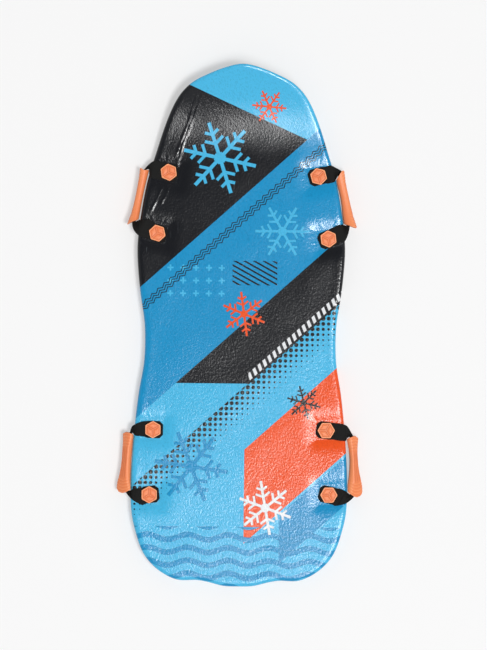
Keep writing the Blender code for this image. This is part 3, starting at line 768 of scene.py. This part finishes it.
def splinePoints(points, count):  # an even line through the points
    points = np.array(points, float)
    padded = np.vstack([2 * points[0] - points[1], points, 2 * points[-1] - points[-2]])
    t = np.linspace(0, 1, 20, endpoint=False)[:, None]
    dense = []
    for i in range(len(points) - 1):
        p0, p1, p2, p3 = padded[i:i + 4]
        dense.append(0.5 * (2 * p1 + (p2 - p0) * t + (2 * p0 - 5 * p1 + 4 * p2 - p3) * t**2
                            + (3 * p1 - p0 - 3 * p2 + p3) * t**3))
    return resampled(np.vstack([*dense, points[-1:]]), lambda length: np.linspace(0, length, count))


def roundCorner(handle, end):  # the webbing's inner edge, round the grip's inner corner and into its mouth
    line = np.array(gripForms[handle.name][ends[end]], float)
    if end:
        line[:, 1] = handle.span * 1000 - line[:, 1]
    gap, begin = strap["cornerGap"], strap["cornerStart"]
    x, on = line[0]
    steps = x + np.array((begin, strap["cornerReach"]))
    return [(x - gap, on + begin), *zip(steps, np.interp(steps, line[:, 0], line[:, 1]) - gap)]


def cornerSections(handle, end):
    # pairs of edge points and their height, from the clamped tail to the grip's mouth
    form, count = corners[handle.name][end], strap["cornerStations"]
    tail, clip, half = strap["tail"], strap["clip"], strap["half"]
    tilt = math.radians(form["tilt"])
    ahead, beside = np.array((math.cos(tilt), math.sin(tilt))), np.array((-math.sin(tilt), math.cos(tilt)))
    sections = []
    for out in (*(step - tail for step in strap["tailSteps"]), *strap["tabSteps"]):
        wide = half - clip + min(clip, out + tail) - (strap["tailTrim"] if out == -tail else 0)
        sections.append((ahead * out - beside * wide, ahead * out + beside * wide, handle.tabHeight))
    start = ahead * strap["freeFrom"]
    inner = np.array([*form["inner"], *roundCorner(handle, end)]) / 1000
    outer = splinePoints([start - beside * half, *(np.array(form["outer"]) / 1000)], count)
    inner = splinePoints([start + beside * half, *inner], count)
    for index, (far, near) in enumerate(zip(outer, inner)):
        share = index / (count - 1)
        drop = float(smooth((share - strap["dropFrom"]) / strap["dropOver"]))
        rise = strap["crest"] * math.sin(math.pi * min(1, share * strap["crestPace"]))
        sections.append((far, near, handle.tabHeight - (handle.tabHeight - handle.gripHeight) * drop + rise))
    return sections


def foldLift(form, places):  # the webbing doubled over along a line
    if "fold" not in form:
        return np.zeros(len(places))
    begin, finish = [np.array(point) / 1000 for point in form["fold"]]
    along = (finish - begin) / np.linalg.norm(finish - begin)
    apart = (places[:, 0] - begin[0]) * along[1] - (places[:, 1] - begin[1]) * along[0]
    step = smooth(apart / strap["foldWidth"] + 0.5)
    return strap["foldStep"] * step * np.exp(-np.maximum(apart, 0) / strap["foldFade"])


def strapRing(handle, far, near, height, form, mirror):
    # one section of the webbing as a closed ring, pleated where it is gathered, and its places across the weave
    count, full, thick = strap["across"], strap["half"], strap["thick"]
    share = np.linspace(0, 1, count)
    width = float(np.linalg.norm(near - far))
    gather = float(np.clip((2 * full - width) / (2 * (full - strap["gathered"])), 0, 1))
    half = (thick + (strap["gatheredThick"] - thick) * gather) / 2
    edge = np.maximum(np.sqrt(np.clip(1 - np.abs(2 * share - 1) ** strap["edgePower"], 0, 1)), strap["edgeLeast"])
    places = far + (near - far) * share[:, None]
    depth = strap["pleatDepth"] * gather * (0.5 - 0.5 * np.cos(share * math.tau * strap["pleats"]))
    lift = foldLift(form, places) if form else np.zeros(count)
    if mirror:
        places = places * (1, -1) + (0, handle.span)
    low = depth * strap["pleatBelow"] - half * edge + lift
    if form:  # over the board's rim
        short = np.maximum(boardTop(handle.above(*places.T)) + strap["clear"] - height - low, 0)
        short = np.maximum(short, np.maximum(np.roll(short, 1), np.roll(short, -1)) * strap["ease"])
        low, lift = low + short, lift + short
    high = half * edge - depth + lift
    rises = zip([*places, *places[::-1]], [*high, *low[::-1]])
    ring = np.array([handle.at(out, on, height + rise) for (out, on), rise in rises])
    across = (share - 0.5) * 2 * full * (-1 if mirror else 1)
    return ring, [*across, *across[::-1]]


def sideAt(points, on):  # how far outboard the grip's side is, by the place along it
    outs, ons = np.array(points).T
    return np.interp(on, ons, outs)


def gripLine(handle):  # the middle of the grip from above, end to end
    inner, outer = gripForms[handle.name]["inner"], gripForms[handle.name]["outer"]
    begin, finish = np.mean([inner[0][1], outer[0][1]]), np.mean([inner[-1][1], outer[-1][1]])
    on = begin + (finish - begin) * np.linspace(0, 1, 40)
    return np.column_stack([(sideAt(inner, on) + sideAt(outer, on)) / 2, on]) / 1000


def buildStrap(handle):
    foreForm, aftForm = corners[handle.name]
    sections = [(*section, foreForm, False) for section in cornerSections(handle, 0)]
    middle, gathered = gripLine(handle), strap["gathered"]
    begin, finish = middle[0][1] + strap["narrowing"], middle[-1][1] - strap["narrowing"]
    for on in np.linspace(begin, finish, strap["gripStations"]):
        out = float(np.interp(on, middle[:, 1], middle[:, 0]))
        far, near = np.array((out + gathered, on)), np.array((out - gathered, on))
        sections.append((far, near, handle.gripHeight, None, False))
    sections += [(*section, aftForm, True) for section in reversed(cornerSections(handle, 1))]
    rings, lays, run = [], [], 0.0
    for section in sections:
        ring, across = strapRing(handle, *section)
        if rings:
            run += float(np.linalg.norm(ring.mean(axis=0) - rings[-1].mean(axis=0)))
        rings.append(ring)
        lays += [(u, run) for u in across]
    lays += [lays[0], lays[-1]]
    made = newPiece(camel(f"strap_{handle.name}"), *closedLoft(rings), blackWebbing, 50)
    weave = made.data.uv_layers.new(name="weave")
    for loop in made.data.loops:
        weave.data[loop.index].uv = lays[loop.vertex_index]
    for place in handle.plugs:
        bpy.ops.mesh.primitive_cylinder_add(vertices=32, radius=strap["hole"], depth=0.01,
                                            location=(place[0], place[1], handle.tabHeight))
        cutter = bpy.context.object
        hole = made.modifiers.new("hole", "BOOLEAN")
        hole.object = cutter
        hole.solver = "EXACT"
        bpy.context.view_layer.update()
        cut = made.evaluated_get(bpy.context.evaluated_depsgraph_get())
        mesh = bpy.data.meshes.new_from_object(cut)
        made.modifiers.clear()
        made.data = mesh
        bpy.data.objects.remove(cutter)
    fold = handle.at(handle.fold, 0, handle.tabHeight)
    reach = handle.outward * strap["bend"]
    tuple(fold - reach)
    tuple(fold + reach)
    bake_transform(made)
    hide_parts(f"strap_{handle.name}", f"tab_{handle.name}_fore", f"tab_{handle.name}_aft")


for handle in handles:
    buildStrap(handle)
print("straps made")


def endLine(points, share):  # where the grip ends, by the share from its inner to its outer side
    across, on = np.array(points, float).T
    return np.interp(share, (across - across[0]) / (across[-1] - across[0]), on) / 1000


def clearOfBoard(handle, local, clear):  # the side towards the board gives way to it at every turn of the grip
    shifted = local.copy()
    for share in grip["turnShares"]:
        level = shifted[:, 0] - handle.reach
        out, height = rotated(level, shifted[:, 2], math.radians(grip["turn"]) * share)
        out, height = out + handle.reach, height + handle.gripHeight
        ground = handle.above(out, shifted[:, 1])
        inside = edgeDistance(ground)
        middle = board["wallHigh"] - dish(ground) + upturn(ground[:, 1])
        short = np.hypot(np.maximum(board["round"] - inside, 0), np.maximum(height - middle, 0))
        deep = np.where(height > middle, board["round"] - short, inside) + clear
        shifted[:, 0] += np.where(level < 0, np.maximum(deep, 0), 0)
    shift = np.minimum(shifted[:, 0] - local[:, 0], grip["giveWay"])
    return local + np.column_stack([shift, np.zeros((len(shift), 2))])


def gripFace(along):
    # the section's outboard and upward waves, how many steps outward it lies, and the grooves' share round it
    angles = np.arange(grip["around"]) * math.tau / grip["around"]
    power = np.where(np.cos(angles) > 0, grip["square"], grip["oval"])  # square outside, oval towards the board
    out, side = [np.sign(wave) * np.abs(wave) ** power for wave in (np.cos(angles), np.sin(angles))]
    steps = (abs(along) - grip["stepFrom"]) * grip["length"] / grip["stepLength"]
    middle = 1 - float(smooth((abs(along) - grip["grooveEnd"]) / grip["grooveFade"]))
    groove = sum(hump(side - place, grip["grooveWidth"]) for place in grip["grooves"])
    return out, side, steps, groove * middle * (out > 0)


def gripRing(handle, along, shrink=0.0, wall=None):
    # along runs from -1 at the fore end to 1 at the aft end; with a wall it is the bore's ring there
    form = gripForms[handle.name]
    out, side, steps, groove = gripFace(along)
    end = grip["aftHalf"] if along > 0 else grip["foreHalf"]
    tall = grip["waistHalf"] + (end - grip["waistHalf"]) * abs(along) ** grip["flare"]
    reach, cut = np.where(out > 0, grip["outer"], grip["inner"]), grip["groove"] * groove
    if steps > 0:
        face = smooth(np.maximum(out, 0) * grip["stepFace"]) * float(smooth(steps * grip["stepFace"]))
        cut = cut + grip["stepHeight"] * (1 - steps % 1) * face
    level, up = rotated(out * (reach - cut), side * tall, handle.roll)
    plain = rotated(out * reach, side * tall, handle.roll)[0]
    share = (level - plain.min()) / (plain.max() - plain.min())
    centreOn = (endLine(form["fore"], 0.5) * (1 - along) + endLine(form["aft"], 0.5) * (1 + along)) / 2
    inner = sideAt(form["inner"], centreOn * 1000) / 1000 + shrink
    outer = sideAt(form["outer"], centreOn * 1000) / 1000 - shrink
    begin, finish = endLine(form["fore"], share), endLine(form["aft"], share)
    onward = begin + (finish - begin) * (along + 1) / 2
    level = inner + (outer - inner) * share
    up = up * (1 - shrink / tall)
    if wall is None:
        return np.column_stack([level, onward, up])
    centre = (inner + outer) / 2
    opened = 1 - float(smooth((1 - abs(along)) * grip["length"] / grip["mouthDepth"]))
    wide = np.column_stack([level - centre, up])
    wide = wide * (1 - wall / np.linalg.norm(wide, axis=1))[:, None]
    plainBore = np.column_stack(rotated(*circle(grip["around"]).T, handle.roll)) * grip["bore"]
    mixed = plainBore + (wide - plainBore) * opened
    return np.column_stack([centre + mixed[:, 0], centreOn + (onward - centreOn) * opened, mixed[:, 1]])


# the grip's marks: shoulders, step crests and tips paler from wear and a painted highlight; grooves, step feet and
# the bore in painted shade
gripMarks = {
    "shoulder": 0.35, "shoulderAt": 0.93, "shoulderWidth": 0.09, "groove": 0.9,
    "crest": 0.9, "crestAt": 0.72, "crestOver": 0.2, "foot": 0.8, "footOver": 0.25,
    "tip": 0.6, "tipAt": 0.975, "tipOver": 0.02, "bore": -0.5,
}


# paler edges from wear and painted highlight, painted shade in the grooves and at the steps' feet
def gripWearAndLight(along):
    out, side, steps, groove = gripFace(along)
    wear = gripMarks["shoulder"] * hump(np.abs(side) - gripMarks["shoulderAt"], gripMarks["shoulderWidth"])
    wear = wear * (out > 0) - gripMarks["groove"] * groove
    if steps > 0:
        crest = float(smooth((steps % 1 - gripMarks["crestAt"]) / gripMarks["crestOver"]))
        foot = 1 - float(smooth(steps % 1 / gripMarks["footOver"]))
        face = smooth(np.maximum(out, 0) * grip["stepFace"])
        wear = wear + (gripMarks["crest"] * crest - gripMarks["foot"] * foot) * face
    return wear + gripMarks["tip"] * float(smooth((abs(along) - gripMarks["tipAt"]) / gripMarks["tipOver"]))


def buildGrip(handle):
    edge, count = grip["round"], grip["around"]
    shares = np.linspace(-1, 1, grip["stations"])
    tip, less = (shares[1] - shares[0]) * grip["roundTip"], edge * grip["roundShare"]
    between = list(shares[1:-1])
    rings = [gripRing(handle, -1, edge), gripRing(handle, -1 + tip, less)]
    rings += [gripRing(handle, along) for along in between]
    rings += [gripRing(handle, 1 - tip, less), gripRing(handle, 1, edge)]
    wear = [gripWearAndLight(along) for along in (-1, -1, *between, 1, 1)]
    bore = [gripRing(handle, along, 0, grip["mouthWall"] + (grip["boreClear"] if abs(along) < 1 else 0))
            for along in grip["boreAt"]]
    # painted shade inside the bore
    wear += [np.full(count, gripMarks["bore"])] * len(bore)
    total = len(rings) + len(bore)
    faces = []
    for index in range(total):
        faces += band(index * count, ((index + 1) % total) * count, count)
    local = np.vstack([clearOfBoard(handle, np.vstack(rings), grip["clear"]),
                       clearOfBoard(handle, np.vstack(bore), grip["clear"] + grip["mouthWall"])])
    points = [handle.at(level, onward, handle.gripHeight + up) for level, onward, up in local]
    made = newPiece(camel(f"grip_{handle.name}"), points, faces, orangePlastic, 34, np.concatenate(wear))
    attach(made, f"grip_{handle.name}")
    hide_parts(f"grip_{handle.name}")


for handle in handles:
    buildGrip(handle)
print("grips made")


colours = {
    "light": (0.064, 0.480, 0.780), "mid": (0.009, 0.285, 0.575), "dark": (0.0085, 0.0092, 0.0120),
    "orange": (0.86, 0.092, 0.014), "white": (0.80, 0.82, 0.84),
    # the plastic's pale tone serves wear and painted highlights, its dark tone painted shade
    "plastic": (0.87, 0.232, 0.080), "plasticWorn": (1.0, 0.39, 0.165), "plasticDirt": (0.58, 0.110, 0.028),
    "webbing": (0.0022, 0.0022, 0.0020), "webbingWorn": (0.0090, 0.0090, 0.0085),
    "socket": (0.026, 0.026, 0.028), "socketPale": (0.0494, 0.0494, 0.0532),
    "foam": (0.80, 0.81, 0.82), "foamShade": (0.64, 0.66, 0.68),
    "slick": (0.020, 0.022, 0.026), "slickWorn": (0.075, 0.080, 0.088),
    "printEdge": (0.008, 0.03, 0.06), "grainShade": (0.003, 0.010, 0.016), "scuff": (0.62, 0.70, 0.74),
}

filmArt = {  # the printed design; slant is y - lean * x, all in metres
    "lean": 0.9, "soft": 0.0009, "outline": 0.35, "wander": 0.0010, "wanderScale": 90.0,
    "upperDark": 0.300, "midLow": 0.0, "darkLow": -0.155,
    "cap": 0.505, "capLean": 0.45, "darkCut": -0.135,
    "orangePatch": (-0.520, -0.300, 0.012), "midPatch": (-0.640, -0.528, 0.095),
    "flakes": [  # centre, radius, turn in degrees, colour
        ((-0.052, 0.392), 0.086, 12, "light"), ((0.062, 0.512), 0.040, 5, "orange"),
        ((0.096, 0.222), 0.064, 0, "light"), ((0.008, 0.028), 0.052, 22, "orange"),
        ((-0.112, -0.330), 0.086, 8, "mid"), ((0.150, -0.178), 0.040, 15, "dark"),
        ((0.062, -0.425), 0.064, 20, "white"),
    ],
    "armHalf": 0.050, "heart": 0.15,
    "branches": ((0.40, 0.30), (0.66, 0.22)), "branchHalf": 0.85, "branchLean": 60,
    "hatch": {"low": (-0.020, 0.095), "high": (0.085, 0.152), "pitch": 0.0125, "share": 0.36, "lean": 0.55,
              "soft": 0.08},
    "dots": {"pitch": 0.0125, "from": -0.155, "to": -0.245, "most": 0.43, "past": 0.004, "soft": 0.08},
    "plus": {"low": (-0.185, 0.060), "high": (-0.035, 0.150), "pitch": 0.030, "half": 0.065, "arm": 0.24,
             "clear": 0.02, "soft": 0.03},
    "zigzag": {"place": 0.252, "pitch": 0.026, "tall": 0.0085, "half": 0.0016, "apart": 0.0085, "count": 3},
    "bars": {"low": -0.148, "high": -0.128, "pitch": 0.0155, "share": 0.52, "from": 0.02, "to": 0.25,
             "lean": 0.4, "soft": 0.07},
    "waves": {"from": -0.470, "pitch": 0.030, "tall": 0.006, "length": 0.095, "share": 0.42, "soft": 0.035},
}
filmGrain = {  # scales of the noises, what each adds to the height and roughness, and where the rider sits
    "lean": 0.55, "longer": 0.60, "wall": 0.8, "streaks": 285.0, "pits": 400.0, "broad": 20.0,
    "handling": 260.0, "handled": 0.030, "scuff": 0.07, "shade": 0.13,
    "pitHeight": 0.25, "broadHeight": 0.5, "bump": 0.00032, "seat": (-0.26, 0.50), "seatHeight": 1.1,
    "rough": 0.135, "streakRough": 0.05, "broadRough": 0.05, "seatRough": 0.03,
}


def fraction(wire, pitch):  # where in its repeat a value is, from -0.5 to 0.5
    return (wire / pitch).math("FRACT") - 0.5


def flakeMask(x, y, centre, radius, turn):  # six arms with two pairs of branches round a hexagon
    soft, half = filmArt["soft"], filmArt["armHalf"] * radius
    lean = math.radians(filmArt["branchLean"])
    dx, dy = x - centre[0], y - centre[1]
    reach = (dx * dx + dy * dy).math("SQRT")
    fold = (dy.math("ARCTAN2", dx) + math.radians(turn)).math("PINGPONG", math.pi / 6)
    along, beside = reach * fold.math("COSINE"), reach * fold.math("SINE")
    mask = beside.under(half, soft) * along.under(radius, soft)
    for start, length in filmArt["branches"]:
        out = along - start * radius
        apart = abs(out * math.sin(lean) - beside * math.cos(lean))
        far = out * math.cos(lean) + beside * math.sin(lean)
        mask = mask.either(apart.under(half * filmArt["branchHalf"], soft) * far.between(0, length * radius, soft))
    return mask.either(along.under(filmArt["heart"] * radius, soft))


def paintFilm():
    film, art = printedFilm, filmArt
    soft = art["soft"]
    place = film.place()
    x, y, z = film.split(place)
    wander = film.noise(place, art["wanderScale"]) - 0.5  # the print's edges aren't ruler-straight
    slant = y - x * art["lean"] + wander * art["wander"]
    cap = (y + x * art["capLean"]).over(art["cap"], soft)
    edges = []

    def lay(colour, mask, name, outlined=True):
        if outlined:
            edges.append(mask * (1 - mask))
        return film.mix(mask, colour, colours[name])

    def within(part):  # a rectangle of the deck
        (left, near), (right, far) = part["low"], part["high"]
        return x.between(left, right, soft) * y.between(near, far, soft)

    colour = lay(colours["light"], slant.over(art["midLow"], soft), "mid")
    colour = lay(colour, slant.over(art["upperDark"], soft) * (1 - cap), "dark")
    colour = lay(colour, slant.over(art["upperDark"], soft) * cap, "light")
    colour = lay(colour, slant.between(art["darkLow"], art["midLow"], soft) * y.over(art["darkCut"], soft), "dark")
    for patch, name in (("orangePatch", "orange"), ("midPatch", "mid")):
        low, high, side = art[patch]
        colour = lay(colour, slant.between(low, high, soft) * x.over(side, soft), name)

    hatch = art["hatch"]
    lines = abs(fraction(y + x * hatch["lean"], hatch["pitch"])).under(hatch["share"] / 2, hatch["soft"])
    colour = lay(colour, lines * within(hatch), "dark", False)

    dots = art["dots"]
    rowX, rowY = fraction(x, dots["pitch"]), fraction(y, dots["pitch"])
    grow = (slant - dots["to"]) / (dots["from"] - dots["to"])
    reach = (rowX * rowX + rowY * rowY).math("SQRT")
    spots = (grow * dots["most"] - reach).over(0, dots["soft"])
    strip = slant.between(dots["to"], dots["from"] + dots["past"], soft)
    colour = lay(colour, spots * strip, "dark", False)

    plus = art["plus"]
    cellX, cellY = abs(fraction(x, plus["pitch"])), abs(fraction(y, plus["pitch"]))
    cross = cellX.math("MINIMUM", cellY).under(plus["half"], plus["soft"])
    cross = cross * cellX.either(cellY).under(plus["arm"], plus["soft"]) * within(plus)
    colour = lay(colour, cross * slant.over(art["midLow"] + plus["clear"], soft), "light", False)

    zigzag = art["zigzag"]
    run = x + y * art["lean"]
    tooth = run.math("PINGPONG", zigzag["pitch"] / 2) * (zigzag["tall"] * 2 / zigzag["pitch"])
    for line in range(zigzag["count"]):
        middle = zigzag["place"] - line * zigzag["apart"]
        colour = lay(colour, abs(slant - tooth - middle).under(zigzag["half"], soft), "dark", False)

    bars = art["bars"]
    stripe = abs(fraction(x + y * bars["lean"], bars["pitch"])).under(bars["share"] / 2, bars["soft"])
    bar = stripe * slant.between(bars["low"], bars["high"], soft) * x.between(bars["from"], bars["to"], soft)
    colour = lay(colour, bar, "white", False)

    waves = art["waves"]
    swing = (x * (math.tau / waves["length"])).math("SINE")
    crest = abs(fraction(y + swing * waves["tall"], waves["pitch"])).under(waves["share"] / 2, waves["soft"])
    colour = lay(colour, crest * y.under(waves["from"], soft), "mid")

    for centre, radius, turn, name in art["flakes"]:
        colour = lay(colour, flakeMask(x, y, centre, radius, turn), name)
    outlines = edges[0]
    for edge in edges[1:]:
        outlines = outlines.either(edge)
    colour = film.mix(outlines * (4 * art["outline"]), colour, colours["printEdge"])

    # pressed grain in short slanted streaks, fine pits and a few rubbed lines along the board
    grain = filmGrain
    slanted = film.join(x + y * grain["lean"], (y - x * grain["lean"]) * grain["longer"], z * grain["wall"])
    streaks, pits = film.noise(slanted, grain["streaks"]), film.cells(slanted, grain["pits"])
    broad = film.noise(place, grain["broad"], 1.0)
    handling = film.noise(film.join(x, y * grain["handled"], z), grain["handling"])
    scuff = handling.over(0.72, 0.04) * broad.over(0.56, 0.10) * grain["scuff"]
    colour = film.mix(streaks.under(0.42, 0.18) * grain["shade"], colour, colours["grainShade"])
    colour = film.mix(scuff, colour, colours["scuff"])
    rubbed = y.under(*grain["seat"])  # coarser where the rider sits
    height = streaks + pits * grain["pitHeight"] + broad * grain["broadHeight"]
    height = height * (rubbed * grain["seatHeight"] + 1.0)
    roughness = broad * grain["broadRough"] + streaks * grain["streakRough"]
    roughness = roughness + rubbed * grain["seatRough"] + grain["rough"]
    film.feed(Base_Color=colour, Roughness=roughness, Normal=film.bump(height, grain["bump"]))


surface = {  # noise scales, mark sizes and bump depths of the plain finishes
    "mottle": 300.0, "speckle": 1500.0, "plasticBump": 0.00010,
    "warp": 0.0021, "weft": 0.0017, "fibres": 2600.0, "selvedge": 0.0183, "webbingBump": 0.00030,
    "socketMottle": 380.0, "socketBump": 0.00008, "smallCells": 620.0, "largeCells": 210.0, "foamBump": 0.0006,
    "drawn": 900.0, "scratches": 480.0, "slickBroad": 18.0, "slickBump": 0.00006,
}


def paintPlastic():
    plastic = orangePlastic
    place = plastic.place()
    wear = plastic.add("ShaderNodeAttribute", {"attribute_name": "wear"}, output=2)
    mottle, fine = plastic.noise(place, surface["mottle"], 3.0), plastic.noise(place, surface["speckle"])
    # rubbed carries wear and painted highlights on edges; the dark share is painted shade in grooves, pockets and
    # bores
    rubbed = (wear * 0.85).math("MULTIPLY", mottle * 0.5 + 0.75, clamp=True)
    paintedShade = (wear * -0.75).math("ADD", 0.0, clamp=True)
    colour = plastic.mix(rubbed, colours["plastic"], colours["plasticWorn"])
    colour = plastic.mix(paintedShade, colour, colours["plasticDirt"])
    colour = plastic.mix(mottle.over(0.5, 0.8) * 0.12, colour, colours["plasticWorn"])
    plastic.feed(Base_Color=colour, Roughness=mottle * 0.18 + 0.36,
                 Normal=plastic.bump(fine * 0.5 + mottle, surface["plasticBump"]))


def paintWebbing():  # plain weave in the strap's own across and along metres, with a firmer selvedge
    webbing = blackWebbing
    across, along, _ = webbing.split(webbing.add("ShaderNodeUVMap", {"uv_map": "weave"}))
    warp, weft = across * (math.tau / surface["warp"]), along * (math.tau / surface["weft"])
    yarns = warp.math("COSINE") * weft.math("COSINE") * 0.5 + 0.5
    fibres = webbing.noise(webbing.join(across, along * 0.25), surface["fibres"])
    selvedge = abs(across).over(surface["selvedge"], 0.0008)
    worn = (yarns * 0.55 + fibres * 0.35) * (1 - selvedge * 0.5)
    webbing.feed(Base_Color=webbing.mix(worn, colours["webbing"], colours["webbingWorn"]),
                 Roughness=fibres * 0.2 + 0.55,
                 Normal=webbing.bump(yarns + fibres * 0.4 + selvedge * 0.6, surface["webbingBump"]))


def paintSocket():
    mottle = socketPlastic.noise(socketPlastic.place(), surface["socketMottle"], 3.0)
    colour = socketPlastic.mix(mottle * 0.5, colours["socket"], colours["socketPale"])
    socketPlastic.feed(Base_Color=colour, Roughness=mottle * 0.2 + 0.4,
                       Normal=socketPlastic.bump(mottle, surface["socketBump"]))


def paintFoam():  # closed cells, two sizes
    place = closedFoam.place()
    small, large = [closedFoam.cells(place, surface[size]) for size in ("smallCells", "largeCells")]
    cells = small * 0.7 + large * 0.5
    colour = closedFoam.mix(cells.over(0.45, 0.6), colours["foam"], colours["foamShade"])
    closedFoam.feed(Base_Color=colour, Normal=closedFoam.bump(1 - cells, surface["foamBump"]))


def paintSlick():  # drawn along the board, with fine sliding scratches
    slick = slickSheet
    place = slick.place()
    x, y, _ = slick.split(place)
    drawn = slick.noise(slick.join(x, y * 0.02), surface["drawn"])
    scratches = slick.noise(slick.join(x + y * 0.04, y * 0.012), surface["scratches"], 3.0, 0.7)
    mark = scratches.over(0.62, 0.05) * slick.noise(place, surface["slickBroad"], 3.0).over(0.45, 0.2)
    colour = slick.mix(mark * 0.7 + drawn * 0.12, colours["slick"], colours["slickWorn"])
    slick.feed(Base_Color=colour, Roughness=mark * 0.25 + 0.24,
               Normal=slick.bump(drawn * 0.5 - mark, surface["slickBump"]))


paintFilm()
paintPlastic()
paintWebbing()
paintSocket()
paintFoam()
paintSlick()
print("finishes made")


studio = {
    "floor": 3.5, "below": 0.0002, "floorColour": (0.93, 0.93, 0.93), "fibreColour": (0.90, 0.90, 0.90),
    "shown": 0.47, "world": 0.45, "ceiling": 0.10, "ceilingFrom": 0.80, "ceilingTo": 0.93, "backdrop": 0.93,
    "sun": 1.22, "sunAngle": 11, "sunFrom": (0.31, -0.15, 1.0),
    "soft": 275, "softPlace": (1.60, -1.95, 9.0), "softSize": 2.6,
    "cameraPlace": (0.0070, 0.0021, 8.038), "cameraTurn": 0.586, "lens": 189.5,
}


def buildFloor():
    half, low = studio["floor"], -studio["below"]
    paper = Finish("floorPaper", Roughness=0.9, Specular_IOR_Level=0.2)
    fibre = paper.noise(paper.place(), 900.0, 3.0)
    colour = paper.mix(fibre * 0.04, studio["floorColour"], studio["fibreColour"])
    paper.feed(Base_Color=colour, Normal=paper.bump(fibre, 0.00005))
    camera, glossy, transmitted = [paper.add("ShaderNodeLightPath", output=output) for output in (0, 3, 6)]
    glow = paper.add("ShaderNodeEmission", None, {"Color": studio["floorColour"], "Strength": 1.0})
    lit = Wire(paper, paper.shader.outputs[0])
    shown = (camera + glossy + transmitted) * studio["shown"]
    mixed = paper.add("ShaderNodeMixShader", None, {0: shown, 1: lit, 2: glow})
    paper.link(mixed, paper.tree.nodes["Material Output"].inputs[0])
    corners = [(-half, -half, low), (half, -half, low), (half, half, low), (-half, half, low)]
    newPiece("floor", corners, [(0, 1, 2, 3)], paper)


def buildSky():  # darker straight above, where the film would mirror it
    world = bpy.data.worlds.new("studio")
    world.use_nodes = True
    sky, background = Graph(world.node_tree), world.node_tree.nodes["Background"]
    up = sky.add("ShaderNodeSeparateXYZ", None, {0: sky.add("ShaderNodeTexCoord")}, 2)
    limits = [studio[name] for name in ("ceilingFrom", "ceilingTo", "world", "ceiling")]
    dim = sky.add("ShaderNodeMapRange", None, dict(enumerate((up, *limits))))
    seen = sky.add("ShaderNodeLightPath")
    level = sky.add("ShaderNodeMix", None, {0: seen, 2: dim, 3: studio["backdrop"]})
    sky.link(level, background.inputs["Strength"])
    background.inputs["Color"].default_value = (1, 1, 1, 1)
    bpy.context.scene.world = world


def buildStudio():
    buildFloor()
    buildSky()
    sun = stand("keyLight", bpy.data.lights.new("keyLight", "SUN"))
    sun.data.energy = studio["sun"]
    sun.data.angle = math.radians(studio["sunAngle"])
    sun.rotation_euler = Vector(studio["sunFrom"]).to_track_quat("Z", "Y").to_euler()

    soft = stand("softLight", bpy.data.lights.new("softLight", "AREA"))
    soft.data.energy = studio["soft"]
    soft.data.shape = "DISK"
    soft.data.size = studio["softSize"]
    soft.location = studio["softPlace"]
    soft.rotation_euler = Vector(studio["softPlace"]).to_track_quat("Z", "Y").to_euler()

    camera = stand("camera", bpy.data.cameras.new("camera"))
    camera.data.lens = studio["lens"]
    camera.data.clip_end = 50
    camera.location = studio["cameraPlace"]
    camera.rotation_euler = (0, 0, math.radians(studio["cameraTurn"]))
    bpy.context.scene.camera = camera
    bpy.context.scene.view_settings.view_transform = "Standard"


buildStudio()
print("studio set")
